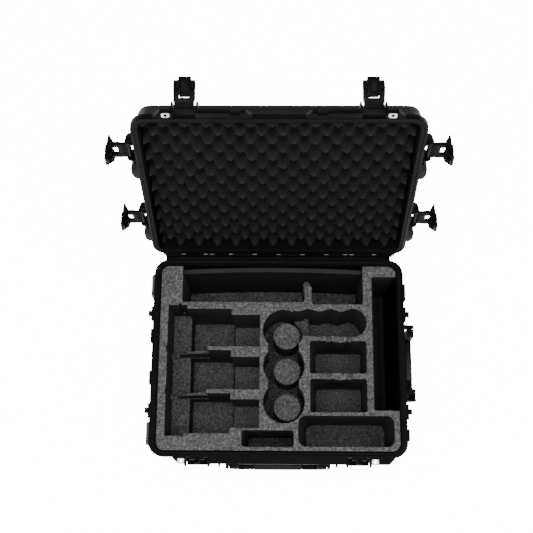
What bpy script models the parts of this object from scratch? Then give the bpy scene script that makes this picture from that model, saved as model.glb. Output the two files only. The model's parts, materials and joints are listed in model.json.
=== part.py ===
"""Wheeled hard carrying case for a camera drone, standing open: tub, lid, foam, latches, handles and hinge.

Metres, +Z up. The origin is the middle of the tub's underside, +Y points to the hinge side and +X to the end
with the side handle. The lid is modelled closed and then turned open about the hinge line.
"""

import math

import bmesh
import bpy
from mathutils import Matrix, Vector

# ---------------------------------------------------------------- driving dimensions
RIM_WIDTH = 0.600
RIM_DEPTH = 0.470
RIM_RADIUS = 0.034
RIM_Z = 0.275
FLANGE_HEIGHT = 0.015
INNER_WIDTH = 0.5666
INNER_DEPTH = 0.4406
INNER_RADIUS = 0.018
FLOOR_WIDTH = 0.548
FLOOR_DEPTH = 0.423
FLOOR_Z = 0.0265
RAIL_HEIGHT = 0.022
WALL = 0.0045
GAP = 0.0003

LID_HEIGHT = 0.058
LID_TOP_THICKNESS = 0.005
LID_OPEN_DEG = 109.0
HINGE_Y = RIM_DEPTH / 2 + 0.012
HINGE_Z = RIM_Z + 0.008
HINGE_RADIUS = 0.0062
HINGE_PIN_RADIUS = 0.0025
KNUCKLE_EDGES = (0.0, 0.0577, 0.1154, 0.1610, 0.1767, 0.2308, 0.2790)
KNUCKLE_GAP = 0.0105

FOAM_TOP_Z = 0.2715
PAD_THICKNESS = 0.020
LID_FOAM_THICKNESS = 0.042

LATCH_LINK = 0.038
LATCH_PIVOT_OUT = 0.011
LATCH_PIVOT_UP = 0.014
LATCH_PIN_RADIUS = 0.0020
PIN_CLEARANCE = 0.00010
FRONT_LATCH_X = 0.1875
SIDE_LATCH_FRONT_Y = -0.128
SIDE_LATCH_REAR_Y = 0.104
FRONT_LATCH_TURN = 150.0
SIDE_LATCH_TURN = 90.0
SIDE_LEVER_TURN = -90.0

PLATE_X = 0.2240
PLATE_WIDTH = 0.0165
PLATE_THICKNESS = 0.0022

FRONT_HANDLE_WIDTH = 0.226
SIDE_HANDLE_WIDTH = 0.166
SIDE_HANDLE_Y = -0.012
HANDLE_DROP = 0.062
HANDLE_PIVOT_OUT = 0.0165
HANDLE_PIVOT_Z = RIM_Z - 0.027

WHEEL_RADIUS = 0.034
WHEEL_WIDTH = 0.026
WHEEL_X = -0.2800
WHEEL_Y = 0.1790
WHEEL_Z = 0.0450

TROLLEY_Y = 0.0800
TUBE_WIDTH = 0.018
TUBE_HEIGHT = 0.011
TUBE_LENGTH = 0.420
TUBE_Z = 0.0112

BLACK = (0.012, 0.012, 0.013, 1.0)
GREY_FOAM = (0.085, 0.085, 0.087, 1.0)
DARK_FOAM = (0.022, 0.022, 0.023, 1.0)
STEEL = (0.62, 0.61, 0.59, 1.0)
ALLOY = (0.45, 0.45, 0.46, 1.0)
RUBBER = (0.016, 0.016, 0.017, 1.0)
SOFT_GREY = (0.040, 0.040, 0.043, 1.0)

MATERIALS = {
    "shell_plastic": (BLACK, 0.45, 0.0),
    "latch_plastic": (BLACK, 0.50, 0.0),
    "handle_plastic": (BLACK, 0.50, 0.0),
    "grip_cover": (SOFT_GREY, 0.40, 0.0),
    "base_foam": (GREY_FOAM, 0.95, 0.0),
    "lid_foam": (DARK_FOAM, 0.95, 0.0),
    "gasket": (RUBBER, 0.70, 0.0),
    "steel": (STEEL, 0.25, 1.0),
    "alloy": (ALLOY, 0.35, 1.0),
    "wheel_rubber": (RUBBER, 0.80, 0.0),
}


# ---------------------------------------------------------------- helpers
def clear_scene():
    for obj in list(bpy.data.objects):
        bpy.data.objects.remove(obj, do_unlink=True)


def material(slot):
    found = bpy.data.materials.get(slot)
    if found:
        return found
    colour, roughness, metallic = MATERIALS[slot]
    made = bpy.data.materials.new(slot)
    made.use_nodes = True
    shader = made.node_tree.nodes["Principled BSDF"]
    shader.inputs["Base Color"].default_value = colour
    shader.inputs["Roughness"].default_value = roughness
    shader.inputs["Metallic"].default_value = metallic
    return made


def to_object(name, bm):
    """A named object from a bmesh, with its faces turned outwards."""
    bmesh.ops.recalc_face_normals(bm, faces=bm.faces)
    mesh = bpy.data.meshes.new(name)
    bm.to_mesh(mesh)
    bm.free()
    obj = bpy.data.objects.new(name, mesh)
    bpy.context.collection.objects.link(obj)
    return obj


def box(low, high):
    """A box between two corners, as a temporary object."""
    bm = bmesh.new()
    bmesh.ops.create_cube(bm, size=1.0)
    for vert in bm.verts:
        for axis in range(3):
            share = vert.co[axis] + 0.5
            vert.co[axis] = low[axis] + share * (high[axis] - low[axis])
    return to_object("tool", bm)


def prism(points, low, high, along="z"):
    """A 2-D outline pushed along one axis: along z the outline is (x, y), along x (y, z), along y (x, z)."""
    order = {"z": (0, 1, 2), "x": (1, 2, 0), "y": (0, 2, 1)}[along]
    bm = bmesh.new()
    loops = []
    for level in (low, high):
        loop = []
        for point in points:
            co = [0.0, 0.0, 0.0]
            co[order[0]], co[order[1]], co[order[2]] = point[0], point[1], level
            loop.append(bm.verts.new(co))
        loops.append(loop)
    bm.faces.new(loops[0])
    bm.faces.new(loops[1])
    count = len(points)
    for i in range(count):
        j = (i + 1) % count
        bm.faces.new((loops[0][i], loops[0][j], loops[1][j], loops[1][i]))
    return to_object("tool", bm)


def cylinder(start, end, radius, sides=16):
    start, end = Vector(start), Vector(end)
    bm = bmesh.new()
    length = (end - start).length
    turn = (end - start).to_track_quat("Z", "Y").to_matrix().to_4x4()
    place = Matrix.Translation((start + end) / 2) @ turn
    bmesh.ops.create_cone(
        bm, cap_ends=True, segments=sides, radius1=radius, radius2=radius, depth=length, matrix=place
    )
    return to_object("tool", bm)


def rounded_outline(width, depth, radius, steps=4, centre=(0.0, 0.0)):
    """Corner points of a rectangle with round corners, anticlockwise from the +X side's lower end."""
    points = []
    for quarter, (sx, sy) in enumerate(((1, -1), (1, 1), (-1, 1), (-1, -1))):
        cx = centre[0] + sx * (width / 2 - radius)
        cy = centre[1] + sy * (depth / 2 - radius)
        for step in range(steps + 1):
            angle = math.radians(-90 + 90 * quarter + 90 * step / steps)
            points.append((cx + radius * math.cos(angle), cy + radius * math.sin(angle)))
    return points


def rounded_box_outline(x0, x1, y0, y1, radius, steps=3):
    return rounded_outline(x1 - x0, y1 - y0, radius, steps, ((x0 + x1) / 2, (y0 + y1) / 2))


def loft(rings):
    """A closed solid through equal-length rings of 3-D points, capped at both ends."""
    bm = bmesh.new()
    loops = [[bm.verts.new(point) for point in ring] for ring in rings]
    for lower, upper in zip(loops, loops[1:]):
        count = len(lower)
        for i in range(count):
            j = (i + 1) % count
            bm.faces.new((lower[i], lower[j], upper[j], upper[i]))
    bm.faces.new(loops[0])
    bm.faces.new(loops[-1])
    return to_object("tool", bm)


def level(outline, z):
    return [(x, y, z) for x, y in outline]


def bake(obj):
    """Replace the object's mesh by what its modifiers make of it."""
    graph = bpy.context.evaluated_depsgraph_get()
    graph.update()
    fresh = bpy.data.meshes.new_from_object(obj.evaluated_get(graph))
    obj.modifiers.clear()
    obj.data = fresh


def combine(target, tools, operation):
    for tool in tools:
        cut = target.modifiers.new(operation.lower(), "BOOLEAN")
        cut.operation = operation
        cut.solver = "EXACT"
        cut.object = tool
        bake(target)
        bpy.data.objects.remove(tool, do_unlink=True)
    return target


def join(target, tools):
    return combine(target, tools, "UNION")


def cut(target, tools):
    return combine(target, tools, "DIFFERENCE")


def finish(obj, name, slot, matrix=None, origin=(0.0, 0.0, 0.0)):
    """Name the piece, give it its material, and put its origin on the given world point."""
    if matrix is not None:
        obj.data.transform(matrix)
    bm = bmesh.new()
    bm.from_mesh(obj.data)
    bmesh.ops.dissolve_degenerate(bm, dist=1e-6, edges=bm.edges)
    bm.to_mesh(obj.data)
    bm.free()
    obj.data.transform(Matrix.Translation(-Vector(origin)))
    obj.location = origin
    obj.name = name
    obj.data.name = name
    obj.data.materials.clear()
    obj.data.materials.append(material(slot))
    obj.data.shade_smooth()
    obj.data.set_sharp_from_angle(angle=math.radians(35))
    return obj


# ---------------------------------------------------------------- frames of reference
def lid_matrix():
    """Turns the closed lid open about the hinge line."""
    hinge = Vector((0.0, HINGE_Y, HINGE_Z))
    turn = Matrix.Rotation(math.radians(-LID_OPEN_DEG), 4, "X")
    return Matrix.Translation(hinge) @ turn @ Matrix.Translation(-hinge)


LID_OPEN = lid_matrix()


def edge_frame(side, offset):
    """A frame on the rim's outer face: x along the edge, y outwards, z up, at the seam."""
    if side == "front":
        return Matrix.Translation((offset, -RIM_DEPTH / 2, RIM_Z)) @ Matrix.Rotation(math.pi, 4, "Z")
    if side == "left":
        return Matrix.Translation((-RIM_WIDTH / 2, offset, RIM_Z)) @ Matrix.Rotation(math.pi / 2, 4, "Z")
    return Matrix.Translation((RIM_WIDTH / 2, offset, RIM_Z)) @ Matrix.Rotation(-math.pi / 2, 4, "Z")


LATCHES = {
    "front_left": ("front", -FRONT_LATCH_X, FRONT_LATCH_TURN, 0.0),
    "front_right": ("front", FRONT_LATCH_X, FRONT_LATCH_TURN, 0.0),
    "left_front": ("left", SIDE_LATCH_FRONT_Y, SIDE_LATCH_TURN, SIDE_LEVER_TURN),
    "left_rear": ("left", SIDE_LATCH_REAR_Y, SIDE_LATCH_TURN, SIDE_LEVER_TURN),
    "right_front": ("right", SIDE_LATCH_FRONT_Y, SIDE_LATCH_TURN, SIDE_LEVER_TURN),
    "right_rear": ("right", SIDE_LATCH_REAR_Y, SIDE_LATCH_TURN, SIDE_LEVER_TURN),
}


def placed(tool, matrix):
    tool.data.transform(matrix)
    return tool


# ---------------------------------------------------------------- tub
def tub_body():
    rim = rounded_outline(RIM_WIDTH, RIM_DEPTH, RIM_RADIUS, 5)
    waist = rounded_outline(0.5790, 0.4530, 0.026, 5)
    bottom = rounded_outline(FLOOR_WIDTH + 2 * WALL, FLOOR_DEPTH + 2 * WALL, 0.022, 5)
    foot = rounded_outline(FLOOR_WIDTH - 0.008, FLOOR_DEPTH - 0.008, 0.018, 5)
    mouth = rounded_outline(INNER_WIDTH, INNER_DEPTH, INNER_RADIUS, 5)
    lip = rounded_outline(INNER_WIDTH + 0.006, INNER_DEPTH + 0.006, INNER_RADIUS + 0.003, 5)
    floor = rounded_outline(FLOOR_WIDTH, FLOOR_DEPTH, INNER_RADIUS, 5)
    return loft([
        level(foot, RAIL_HEIGHT),
        level(bottom, RAIL_HEIGHT + 0.008),
        level(waist, RIM_Z - FLANGE_HEIGHT - 0.006),
        level(rim, RIM_Z - FLANGE_HEIGHT),
        level(rim, RIM_Z),
        level(lip, RIM_Z),
        level(mouth, RIM_Z - 0.003),
        level(floor, FLOOR_Z),
    ])


def front_bay():
    half, right, out, top = 0.2430, 0.2690, 0.0150, RIM_Z - 0.0008
    y0 = -RIM_DEPTH / 2 + 0.012
    y1 = -RIM_DEPTH / 2 - out
    outline = [(-half, y0), (right, y0), (right, y1 + 0.013), (right - 0.013, y1), (-half + 0.013, y1), (-half, y1 + 0.013)]
    return prism(outline, top - 0.0128, top)


def catch(side, offset):
    """The ridge a latch hooks under, on a wide block below the flange."""
    block = prism([(-0.012, -0.0285), (0.0056, -0.0225), (0.0056, -0.0088), (-0.012, -0.0088)], -0.0170, 0.0170, "x")
    ridge = prism([(-0.004, -0.0182), (0.0135, -0.0182), (0.0135, -0.0125), (0.0045, -0.0098), (-0.004, -0.0098)],
                  -0.0064, 0.0064, "x")
    frame = edge_frame(side, offset)
    return placed(join(block, [ridge]), frame)


def latch_recess(offset):
    """Room in the front bay for a latch and the catch behind it."""
    return placed(box((-0.0260, 0.0003, -0.030), (0.0260, 0.030, 0.010)), edge_frame("front", offset))


def knuckles(parity):
    """Barrels of one half of the hinge as pairs of X positions."""
    edges = [-e for e in reversed(KNUCKLE_EDGES[1:])] + list(KNUCKLE_EDGES)
    pairs = []
    for index, (start, end) in enumerate(zip(edges, edges[1:])):
        if index % 2 == parity:
            pairs.append((start + KNUCKLE_GAP / 2, end - KNUCKLE_GAP / 2))
    return pairs


def hinge_profile_tub():
    """Barrel and the leaf that rises from the tub's flange, as a (y, z) outline."""
    points = [(RIM_DEPTH / 2 - 0.004, RIM_Z - 0.0125)]
    points.append((HINGE_Y - 0.001, RIM_Z - 0.0125))
    points.append((HINGE_Y + HINGE_RADIUS, RIM_Z - 0.004))
    for step in range(0, 7):
        angle = math.radians(180 * step / 6)
        points.append((HINGE_Y + HINGE_RADIUS * math.cos(angle), HINGE_Z + HINGE_RADIUS * math.sin(angle)))
    points.append((HINGE_Y - HINGE_RADIUS, RIM_Z - 0.002))
    points.append((RIM_DEPTH / 2 - 0.004, RIM_Z - 0.002))
    return points


def hinge_profile_lid():
    """Barrel and the short leaf that joins it to the lid's flange, as a (y, z) outline."""
    half = 0.0045
    edge = math.degrees(math.asin(half / HINGE_RADIUS))
    points = [(RIM_DEPTH / 2 - 0.004, HINGE_Z - half), (RIM_DEPTH / 2 - 0.004, HINGE_Z + half)]
    for step in range(0, 10):
        angle = math.radians(180 - edge - (360 - 2 * edge) * step / 9)
        points.append((HINGE_Y + HINGE_RADIUS * math.cos(angle), HINGE_Z + HINGE_RADIUS * math.sin(angle)))
    return points


def hinge_ledge():
    """Full-length shelf of the tub that closes the view between its flange and the hinge."""
    outline = [(0.2300, 0.2634), (0.2450, 0.2634), (0.2526, 0.2700), (0.2526, 0.2728), (0.2508, 0.2746), (0.2300, 0.2746)]
    return prism(outline, -0.2700, 0.2700, "x")


def hinge_bore():
    return cylinder((-0.30, HINGE_Y, HINGE_Z), (0.2905, HINGE_Y, HINGE_Z), HINGE_PIN_RADIUS + PIN_CLEARANCE, 12)


def handle_mount(side, width):
    """Two cheeks a handle turns between, standing out from the wall under the flange."""
    frame = edge_frame(side, SIDE_HANDLE_Y if side == "right" else 0.0)
    pieces = []
    for sign in (-1, 1):
        x0 = sign * (width / 2 + 0.0010)
        x1 = sign * (width / 2 + 0.0080)
        low, high = min(x0, x1), max(x0, x1)
        z = HANDLE_PIVOT_Z - RIM_Z
        outline = [(-0.0135, z + 0.0145), (-0.0135, z - 0.0300), (HANDLE_PIVOT_OUT + 0.003, z - 0.0085),
                   (HANDLE_PIVOT_OUT + 0.0085, z - 0.002), (HANDLE_PIVOT_OUT + 0.0085, z + 0.004),
                   (HANDLE_PIVOT_OUT + 0.003, z + 0.0095), (-0.004, z + 0.0145)]
        pieces.append(placed(prism(outline, low, high, "x"), frame))
    return pieces


def wheel_housing(sign):
    """Box over each wheel at the tub's low left corners, with the wheel's slot open to the outside."""
    y0, y1 = sign * WHEEL_Y - 0.0260, sign * WHEEL_Y + 0.0260
    outline = [(-0.2762, 0.0300), (-0.2960, 0.0300), (-0.3040, 0.0450), (-0.3120, 0.1150), (-0.3120, 0.2350),
               (-0.2990, 0.2560), (-0.2860, 0.2560)]
    return prism(outline, y0, y1, "y")


def wheel_slot(sign):
    half = WHEEL_WIDTH / 2 + 0.0015
    y = sign * WHEEL_Y
    slot = cylinder((WHEEL_X, y - half, WHEEL_Z), (WHEEL_X, y + half, WHEEL_Z), WHEEL_RADIUS + 0.003, 24)
    mouth = box((-0.330, y - half, 0.010), (WHEEL_X, y + half, WHEEL_Z + WHEEL_RADIUS + 0.003))
    under = box((-0.330, y - half, 0.000), (WHEEL_X + WHEEL_RADIUS, y + half, WHEEL_Z))
    return join(slot, [mouth, under])


def wheel_well(sign):
    """Inner wall that keeps the wheel's slot shut off from the foam."""
    half = WHEEL_WIDTH / 2 + 0.0060
    y = sign * WHEEL_Y
    return box((-0.2780, y - half, 0.0235), (-0.2380, y + half, 0.0870))


def rails():
    """Three long skids under the tub; the outer two hold the pull handle's tubes."""
    made = []
    for y in (-TROLLEY_Y, TROLLEY_Y):
        made.append(box((-0.2000, y - 0.0170, 0.0), (0.2660, y + 0.0170, RAIL_HEIGHT + 0.003)))
    made.append(box((-0.1200, -0.0120, 0.0), (0.1200, 0.0120, RAIL_HEIGHT + 0.003)))
    for sx in (-1, 1):
        for sy in (-1, 1):
            x, y = sx * 0.2150, sy * 0.1800
            if sx < 0:
                x = -0.2050
            made.append(box((x - 0.020, y - 0.018, 0.0), (x + 0.020, y + 0.018, RAIL_HEIGHT + 0.003)))
    return made


def trolley_slots():
    made = []
    for y in (-TROLLEY_Y, TROLLEY_Y):
        half_w, half_h = TUBE_WIDTH / 2 + 0.0005, TUBE_HEIGHT / 2 + 0.0005
        made.append(box((-0.1700, y - half_w, TUBE_Z - half_h), (0.3000, y + half_w, TUBE_Z + half_h)))
    return made


def side_ribs():
    """Upright bumpers on the tub's ends."""
    made = []
    for x, y, half, top in ((1, 0.158, 0.020, 0.252), (1, -0.182, 0.013, 0.252), (-1, 0.050, 0.016, 0.250),
                            (-1, -0.050, 0.016, 0.250)):
        outline = [(x * 0.2774, 0.060), (x * 0.284, 0.060), (x * 0.3030, 0.200), (x * 0.3060, top),
                   (x * 0.3060, top + 0.0130), (x * 0.2868, top + 0.0130)]
        made.append(prism(outline, y - half, y + half, "y"))
    return made


def front_ribs():
    """Guard ribs under the front bay, one pair astride each latch."""
    made = []
    for x in (-0.2145, -0.1605, -0.1360, 0.1360, 0.1605, 0.2145):
        outline = [(-0.2232, 0.2640), (-0.2470, 0.2640), (-0.2560, 0.2560), (-0.2440, 0.2400), (-0.2190, 0.1300)]
        made.append(prism(outline, x - 0.0025, x + 0.0025, "x"))
    return made


def latch_guards():
    """Sloping shelves between the guard ribs, under the front latches."""
    outline = [(-0.2222, 0.2140), (-0.2500, 0.2100), (-0.2500, 0.2050), (-0.2200, 0.1800)]
    return [prism(outline, x - 0.0270, x + 0.0270, "x") for x in (-FRONT_LATCH_X, FRONT_LATCH_X)]


def make_tub():
    tub = tub_body()
    join(tub, [front_bay()])
    cut(tub, [latch_recess(-FRONT_LATCH_X), latch_recess(FRONT_LATCH_X)])
    join(tub, [catch(side, offset) for side, offset, _, _ in LATCHES.values()])
    profile = hinge_profile_tub()
    join(tub, [hinge_ledge()])
    join(tub, [prism(profile, start, end, "x") for start, end in knuckles(0)])
    join(tub, [wheel_housing(-1), wheel_housing(1), wheel_well(-1), wheel_well(1)])
    cut(tub, [wheel_slot(-1), wheel_slot(1)])
    join(tub, rails())
    cut(tub, trolley_slots())
    join(tub, side_ribs() + front_ribs() + latch_guards())
    join(tub, handle_mount("front", FRONT_HANDLE_WIDTH) + handle_mount("right", SIDE_HANDLE_WIDTH))
    bores = [hinge_bore()]
    for sign in (-1, 1):
        bores.append(cylinder((WHEEL_X, sign * WHEEL_Y - 0.035, WHEEL_Z), (WHEEL_X, sign * WHEEL_Y + 0.0255, WHEEL_Z),
                              0.0040 + GAP, 16))
    for side, width in (("front", FRONT_HANDLE_WIDTH), ("right", SIDE_HANDLE_WIDTH)):
        frame = edge_frame(side, SIDE_HANDLE_Y if side == "right" else 0.0)
        z = HANDLE_PIVOT_Z - RIM_Z
        for sign in (-1, 1):
            bores.append(placed(cylinder((sign * (width / 2 - 0.002), HANDLE_PIVOT_OUT, z),
                                         (sign * (width / 2 + 0.012), HANDLE_PIVOT_OUT, z), 0.0030 + GAP, 16), frame))
    cut(tub, bores)
    for sign in (-1, 1):
        seat = box((sign * PLATE_X - PLATE_WIDTH / 2 - GAP, -RIM_DEPTH / 2 - 0.020, RIM_Z - 0.0008 - PLATE_THICKNESS),
                   (sign * PLATE_X + PLATE_WIDTH / 2 + GAP, -RIM_DEPTH / 2 - 0.0018, RIM_Z + 0.005))
        hole = cylinder((sign * PLATE_X, -RIM_DEPTH / 2 - 0.0085, RIM_Z - 0.030),
                        (sign * PLATE_X, -RIM_DEPTH / 2 - 0.0085, RIM_Z + 0.010), 0.0040, 16)
        cut(tub, [seat, hole])
    valve = cylinder((0.1650, -0.250, 0.175), (0.1650, -0.2200, 0.175), 0.0115 + GAP, 20)
    ring = cylinder((0.1650, -0.2300, 0.175), (0.1650, -0.2188, 0.175), 0.0150, 20)
    join(tub, [ring])
    cut(tub, [valve])
    return finish(tub, "tub_shell", "shell_plastic")


def padlock_plate(name, sign, up, matrix=None):
    """Stainless plate with a padlock hole, let into the front bay."""
    z0 = RIM_Z - 0.0008 - PLATE_THICKNESS + GAP
    if up:
        z0 = RIM_Z + 0.0008
    x = sign * PLATE_X
    y = -RIM_DEPTH / 2
    outline = rounded_box_outline(x - PLATE_WIDTH / 2, x + PLATE_WIDTH / 2, y - 0.0148, y - 0.0018 - GAP, 0.0025, 2)
    plate = prism(outline, z0, z0 + PLATE_THICKNESS - 2 * GAP)
    cut(plate, [cylinder((x, y - 0.0085, z0 - 0.01), (x, y - 0.0085, z0 + 0.01), 0.0036, 16)])
    return finish(plate, name, "steel", matrix)


# ---------------------------------------------------------------- foam in the tub
def capsule_outline(x0, x1, y, radius, steps=6):
    points = []
    for step in range(steps + 1):
        angle = math.radians(-90 + 180 * step / steps)
        points.append((x1 - radius + radius * math.cos(angle), y + radius * math.sin(angle)))
    points += [(x0, y + radius), (x0, y - radius)]
    return points


# Each pocket: outline corners (x0, x1, y0, y1), corner radius, floor height above the ground.
POCKETS = (
    (-0.2320, 0.0630, 0.1310, 0.2400, 0.006, 0.055),
    (0.0800, 0.2030, 0.1260, 0.2400, 0.006, 0.055),
    (0.2236, 0.3000, -0.1265, 0.1940, 0.006, 0.055),
    (0.0747, 0.2087, -0.0400, 0.0370, 0.006, 0.100),
    (0.0750, 0.2087, -0.1310, -0.0530, 0.006, 0.100),
    (0.0470, 0.2700, -0.2100, -0.1390, 0.016, 0.060),
    (-0.0850, 0.0365, -0.2110, -0.1730, 0.007, 0.075),
)
BAY_LEDGE = (-0.2640, -0.2190, 0.140)
BAY_MAIN = (-0.2192, -0.1120, 0.075)
BAY_RIGHT = (-0.1122, -0.0440, 0.105)
# Each bay's front and back edge in its ledge, main and right part.
BAYS = (
    ((0.0230, 0.1230), (0.0230, 0.1140), (0.0230, 0.0995)),
    ((-0.0785, 0.0140), (-0.0785, 0.0140), (-0.0785, -0.0020)),
    ((-0.1870, -0.0880), (-0.1810, -0.0880), (-0.1680, -0.1020)),
)
LOW_DIVIDERS = ((0.0120, 0.0250), (-0.0900, -0.0770))
LOW_DIVIDER_TOP = 0.215
LOBE_CENTRES = ((0.0120, 0.0630), (0.0130, -0.0220), (0.0135, -0.1080))
POST_SHIFT_X, POST_SHIFT_Y = 0.0080, -0.0085
LOBE_RADIUS = 0.0490
LOBE_FLOOR = 0.120
POST_RADIUS = 0.0315
POST_TOP = 0.230
WAIST_HALF = 0.0360


def pocket(x0, x1, y0, y1, radius, floor):
    return prism(rounded_box_outline(x0, x1, y0, y1, radius), floor, 0.30)


def make_tub_foam():
    share = (FLOOR_Z + PAD_THICKNESS + GAP - FLOOR_Z) / (RIM_Z - 0.003 - FLOOR_Z)
    low_width = FLOOR_WIDTH + share * (INNER_WIDTH - FLOOR_WIDTH) - 4 * GAP
    low_depth = FLOOR_DEPTH + share * (INNER_DEPTH - FLOOR_DEPTH) - 4 * GAP
    block = loft([
        level(rounded_outline(low_width, low_depth, INNER_RADIUS), FLOOR_Z + PAD_THICKNESS + 2 * GAP),
        level(rounded_outline(INNER_WIDTH - 4 * GAP, INNER_DEPTH - 4 * GAP, INNER_RADIUS), FOAM_TOP_Z),
    ])
    cut(block, [wheel_relief(sign) for sign in (-1, 1)])
    cut(block, [pocket(*values) for values in POCKETS])
    for bay in BAYS:
        for (x0, x1, floor), (y0, y1) in zip((BAY_LEDGE, BAY_MAIN, BAY_RIGHT), bay):
            cut(block, [box((x0, y0, floor), (x1, y1, 0.30))])
    for y0, y1 in LOW_DIVIDERS:
        cut(block, [box((-0.2641, y0, LOW_DIVIDER_TOP), (-0.1680, y1, 0.30))])
    for x, y in LOBE_CENTRES:
        cut(block, [cylinder((x, y, LOBE_FLOOR), (x, y, 0.30), LOBE_RADIUS, 28)])
    first, last = LOBE_CENTRES[0], LOBE_CENTRES[-1]
    cut(block, [pocket(first[0] - WAIST_HALF, first[0] + WAIST_HALF + 0.001, last[1], first[1], 0.004, LOBE_FLOOR)])
    cut(block, [prism(capsule_outline(0.0350, 0.2104, 0.0805, 0.0330), 0.095, 0.30)])
    for x, y in LOBE_CENTRES:
        x, y = x + POST_SHIFT_X, y + POST_SHIFT_Y
        join(block, [cylinder((x, y, 0.090), (x, y, POST_TOP), POST_RADIUS, 24)])
    return finish(block, "tub_foam", "base_foam")


def wheel_relief(sign):
    """Notch in the foam's low corner for the wheel well."""
    return box((-0.300, sign * WHEEL_Y - 0.0210, 0.0), (-0.2368, sign * WHEEL_Y + 0.0210, 0.0885))


def make_bottom_pad():
    width, depth = FLOOR_WIDTH - 4 * GAP, FLOOR_DEPTH - 4 * GAP
    outline = rounded_outline(width, depth, INNER_RADIUS)
    pad = prism(outline, FLOOR_Z + GAP, FLOOR_Z + PAD_THICKNESS)
    cut(pad, [wheel_relief(sign) for sign in (-1, 1)])
    return finish(pad, "bottom_foam_pad", "base_foam")


# ---------------------------------------------------------------- lid, modelled closed
def lid_body():
    rim = rounded_outline(RIM_WIDTH, RIM_DEPTH, RIM_RADIUS, 5)
    shoulder = rounded_outline(0.5820, 0.4540, 0.028, 5)
    crown = rounded_outline(0.5760, 0.4470, 0.028, 5)
    top = rounded_outline(0.5560, 0.4270, 0.020, 5)
    mouth = rounded_outline(INNER_WIDTH, INNER_DEPTH, INNER_RADIUS, 5)
    lip = rounded_outline(INNER_WIDTH + 0.006, INNER_DEPTH + 0.006, INNER_RADIUS + 0.003, 5)
    ceiling = rounded_outline(INNER_WIDTH - 0.006, INNER_DEPTH - 0.006, INNER_RADIUS, 5)
    roof = RIM_Z + LID_HEIGHT
    return loft([
        level(top, roof),
        level(crown, roof - 0.010),
        level(shoulder, RIM_Z + FLANGE_HEIGHT + 0.004),
        level(rim, RIM_Z + FLANGE_HEIGHT - 0.001),
        level(rim, RIM_Z + GAP),
        level(lip, RIM_Z + GAP),
        level(mouth, RIM_Z + 0.003),
        level(ceiling, roof - LID_TOP_THICKNESS),
    ])


def lid_bays():
    """Raised bays along the lid's front edge, with chamfered ends."""
    made = []
    y0, y1 = -RIM_DEPTH / 2 + 0.012, -RIM_DEPTH / 2 - 0.0150
    for sign in (-1, 1):
        inner, outer = 0.0540, 0.2510
        outline = [(sign * inner, y0), (sign * outer, y0), (sign * outer, y1 + 0.015), (sign * (outer - 0.015), y1),
                   (sign * (inner + 0.012), y1), (sign * inner, y1 + 0.012)]
        made.append(prism(outline, RIM_Z + 0.0010, RIM_Z + 0.0130))
    return made


def lid_side_blocks():
    """Rounded blocks on the lid's ends, one behind each side latch."""
    made = []
    for side in ("left", "right"):
        for offset in (-0.0720, 0.1580):
            block = prism([(-0.0240, -0.012), (0.0240, -0.012), (0.0240, 0.0060), (0.0170, 0.0120), (0.0080, 0.0140),
                           (-0.0080, 0.0140), (-0.0170, 0.0120), (-0.0240, 0.0060)], 0.0010, 0.0180)
            made.append(placed(block, edge_frame(side, 0.0) @ Matrix.Translation((offset if side == "left" else -offset, 0, 0))))
    return made


def lid_notches():
    made = []
    for sign in (-1, 1):
        x = sign * 0.0860
        made.append(box((x - 0.010, -RIM_DEPTH / 2 - 0.020, RIM_Z - 0.01), (x + 0.010, -RIM_DEPTH / 2 - 0.009, RIM_Z + 0.02)))
    return made


def latch_ears(side, offset):
    """Two rounded ears on the lid that a latch arm turns between."""
    made = []
    for sign in (-1, 1):
        x0, x1 = sign * 0.0233, sign * 0.0273
        outline = [(-0.012, 0.0035), (0.002, 0.0035)]
        for step in range(0, 4):
            angle = math.radians(-70 + 100 * step / 3)
            outline.append((LATCH_PIVOT_OUT + 0.0085 * math.cos(angle), LATCH_PIVOT_UP + 0.0085 * math.sin(angle)))
        outline += [(0.0165, 0.0300), (0.0130, 0.0350), (0.0080, 0.0355), (-0.0060, 0.0420), (-0.012, 0.0420)]
        made.append(prism(outline, min(x0, x1), max(x0, x1), "x"))
    return [placed(piece, edge_frame(side, offset)) for piece in made]


def ear_bore(side, offset):
    bore = cylinder((-0.040, LATCH_PIVOT_OUT, LATCH_PIVOT_UP), (0.040, LATCH_PIVOT_OUT, LATCH_PIVOT_UP),
                    LATCH_PIN_RADIUS + GAP, 12)
    return placed(bore, edge_frame(side, offset))


def arm_room(side, offset):
    """Clears the bay and flange where the latch arm swings."""
    room = box((-0.0231, 0.0003, -0.010), (0.0231, 0.040, 0.060))
    return placed(room, edge_frame(side, offset))


def lid_ridges():
    """Long raised ribs that stiffen the lid's top."""
    made = []
    roof = RIM_Z + LID_HEIGHT
    for x in (-0.200, -0.120, 0.120, 0.200):
        made.append(box((x - 0.016, -0.180, roof - 0.004), (x + 0.016, 0.180, roof + 0.004)))
    return made


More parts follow.
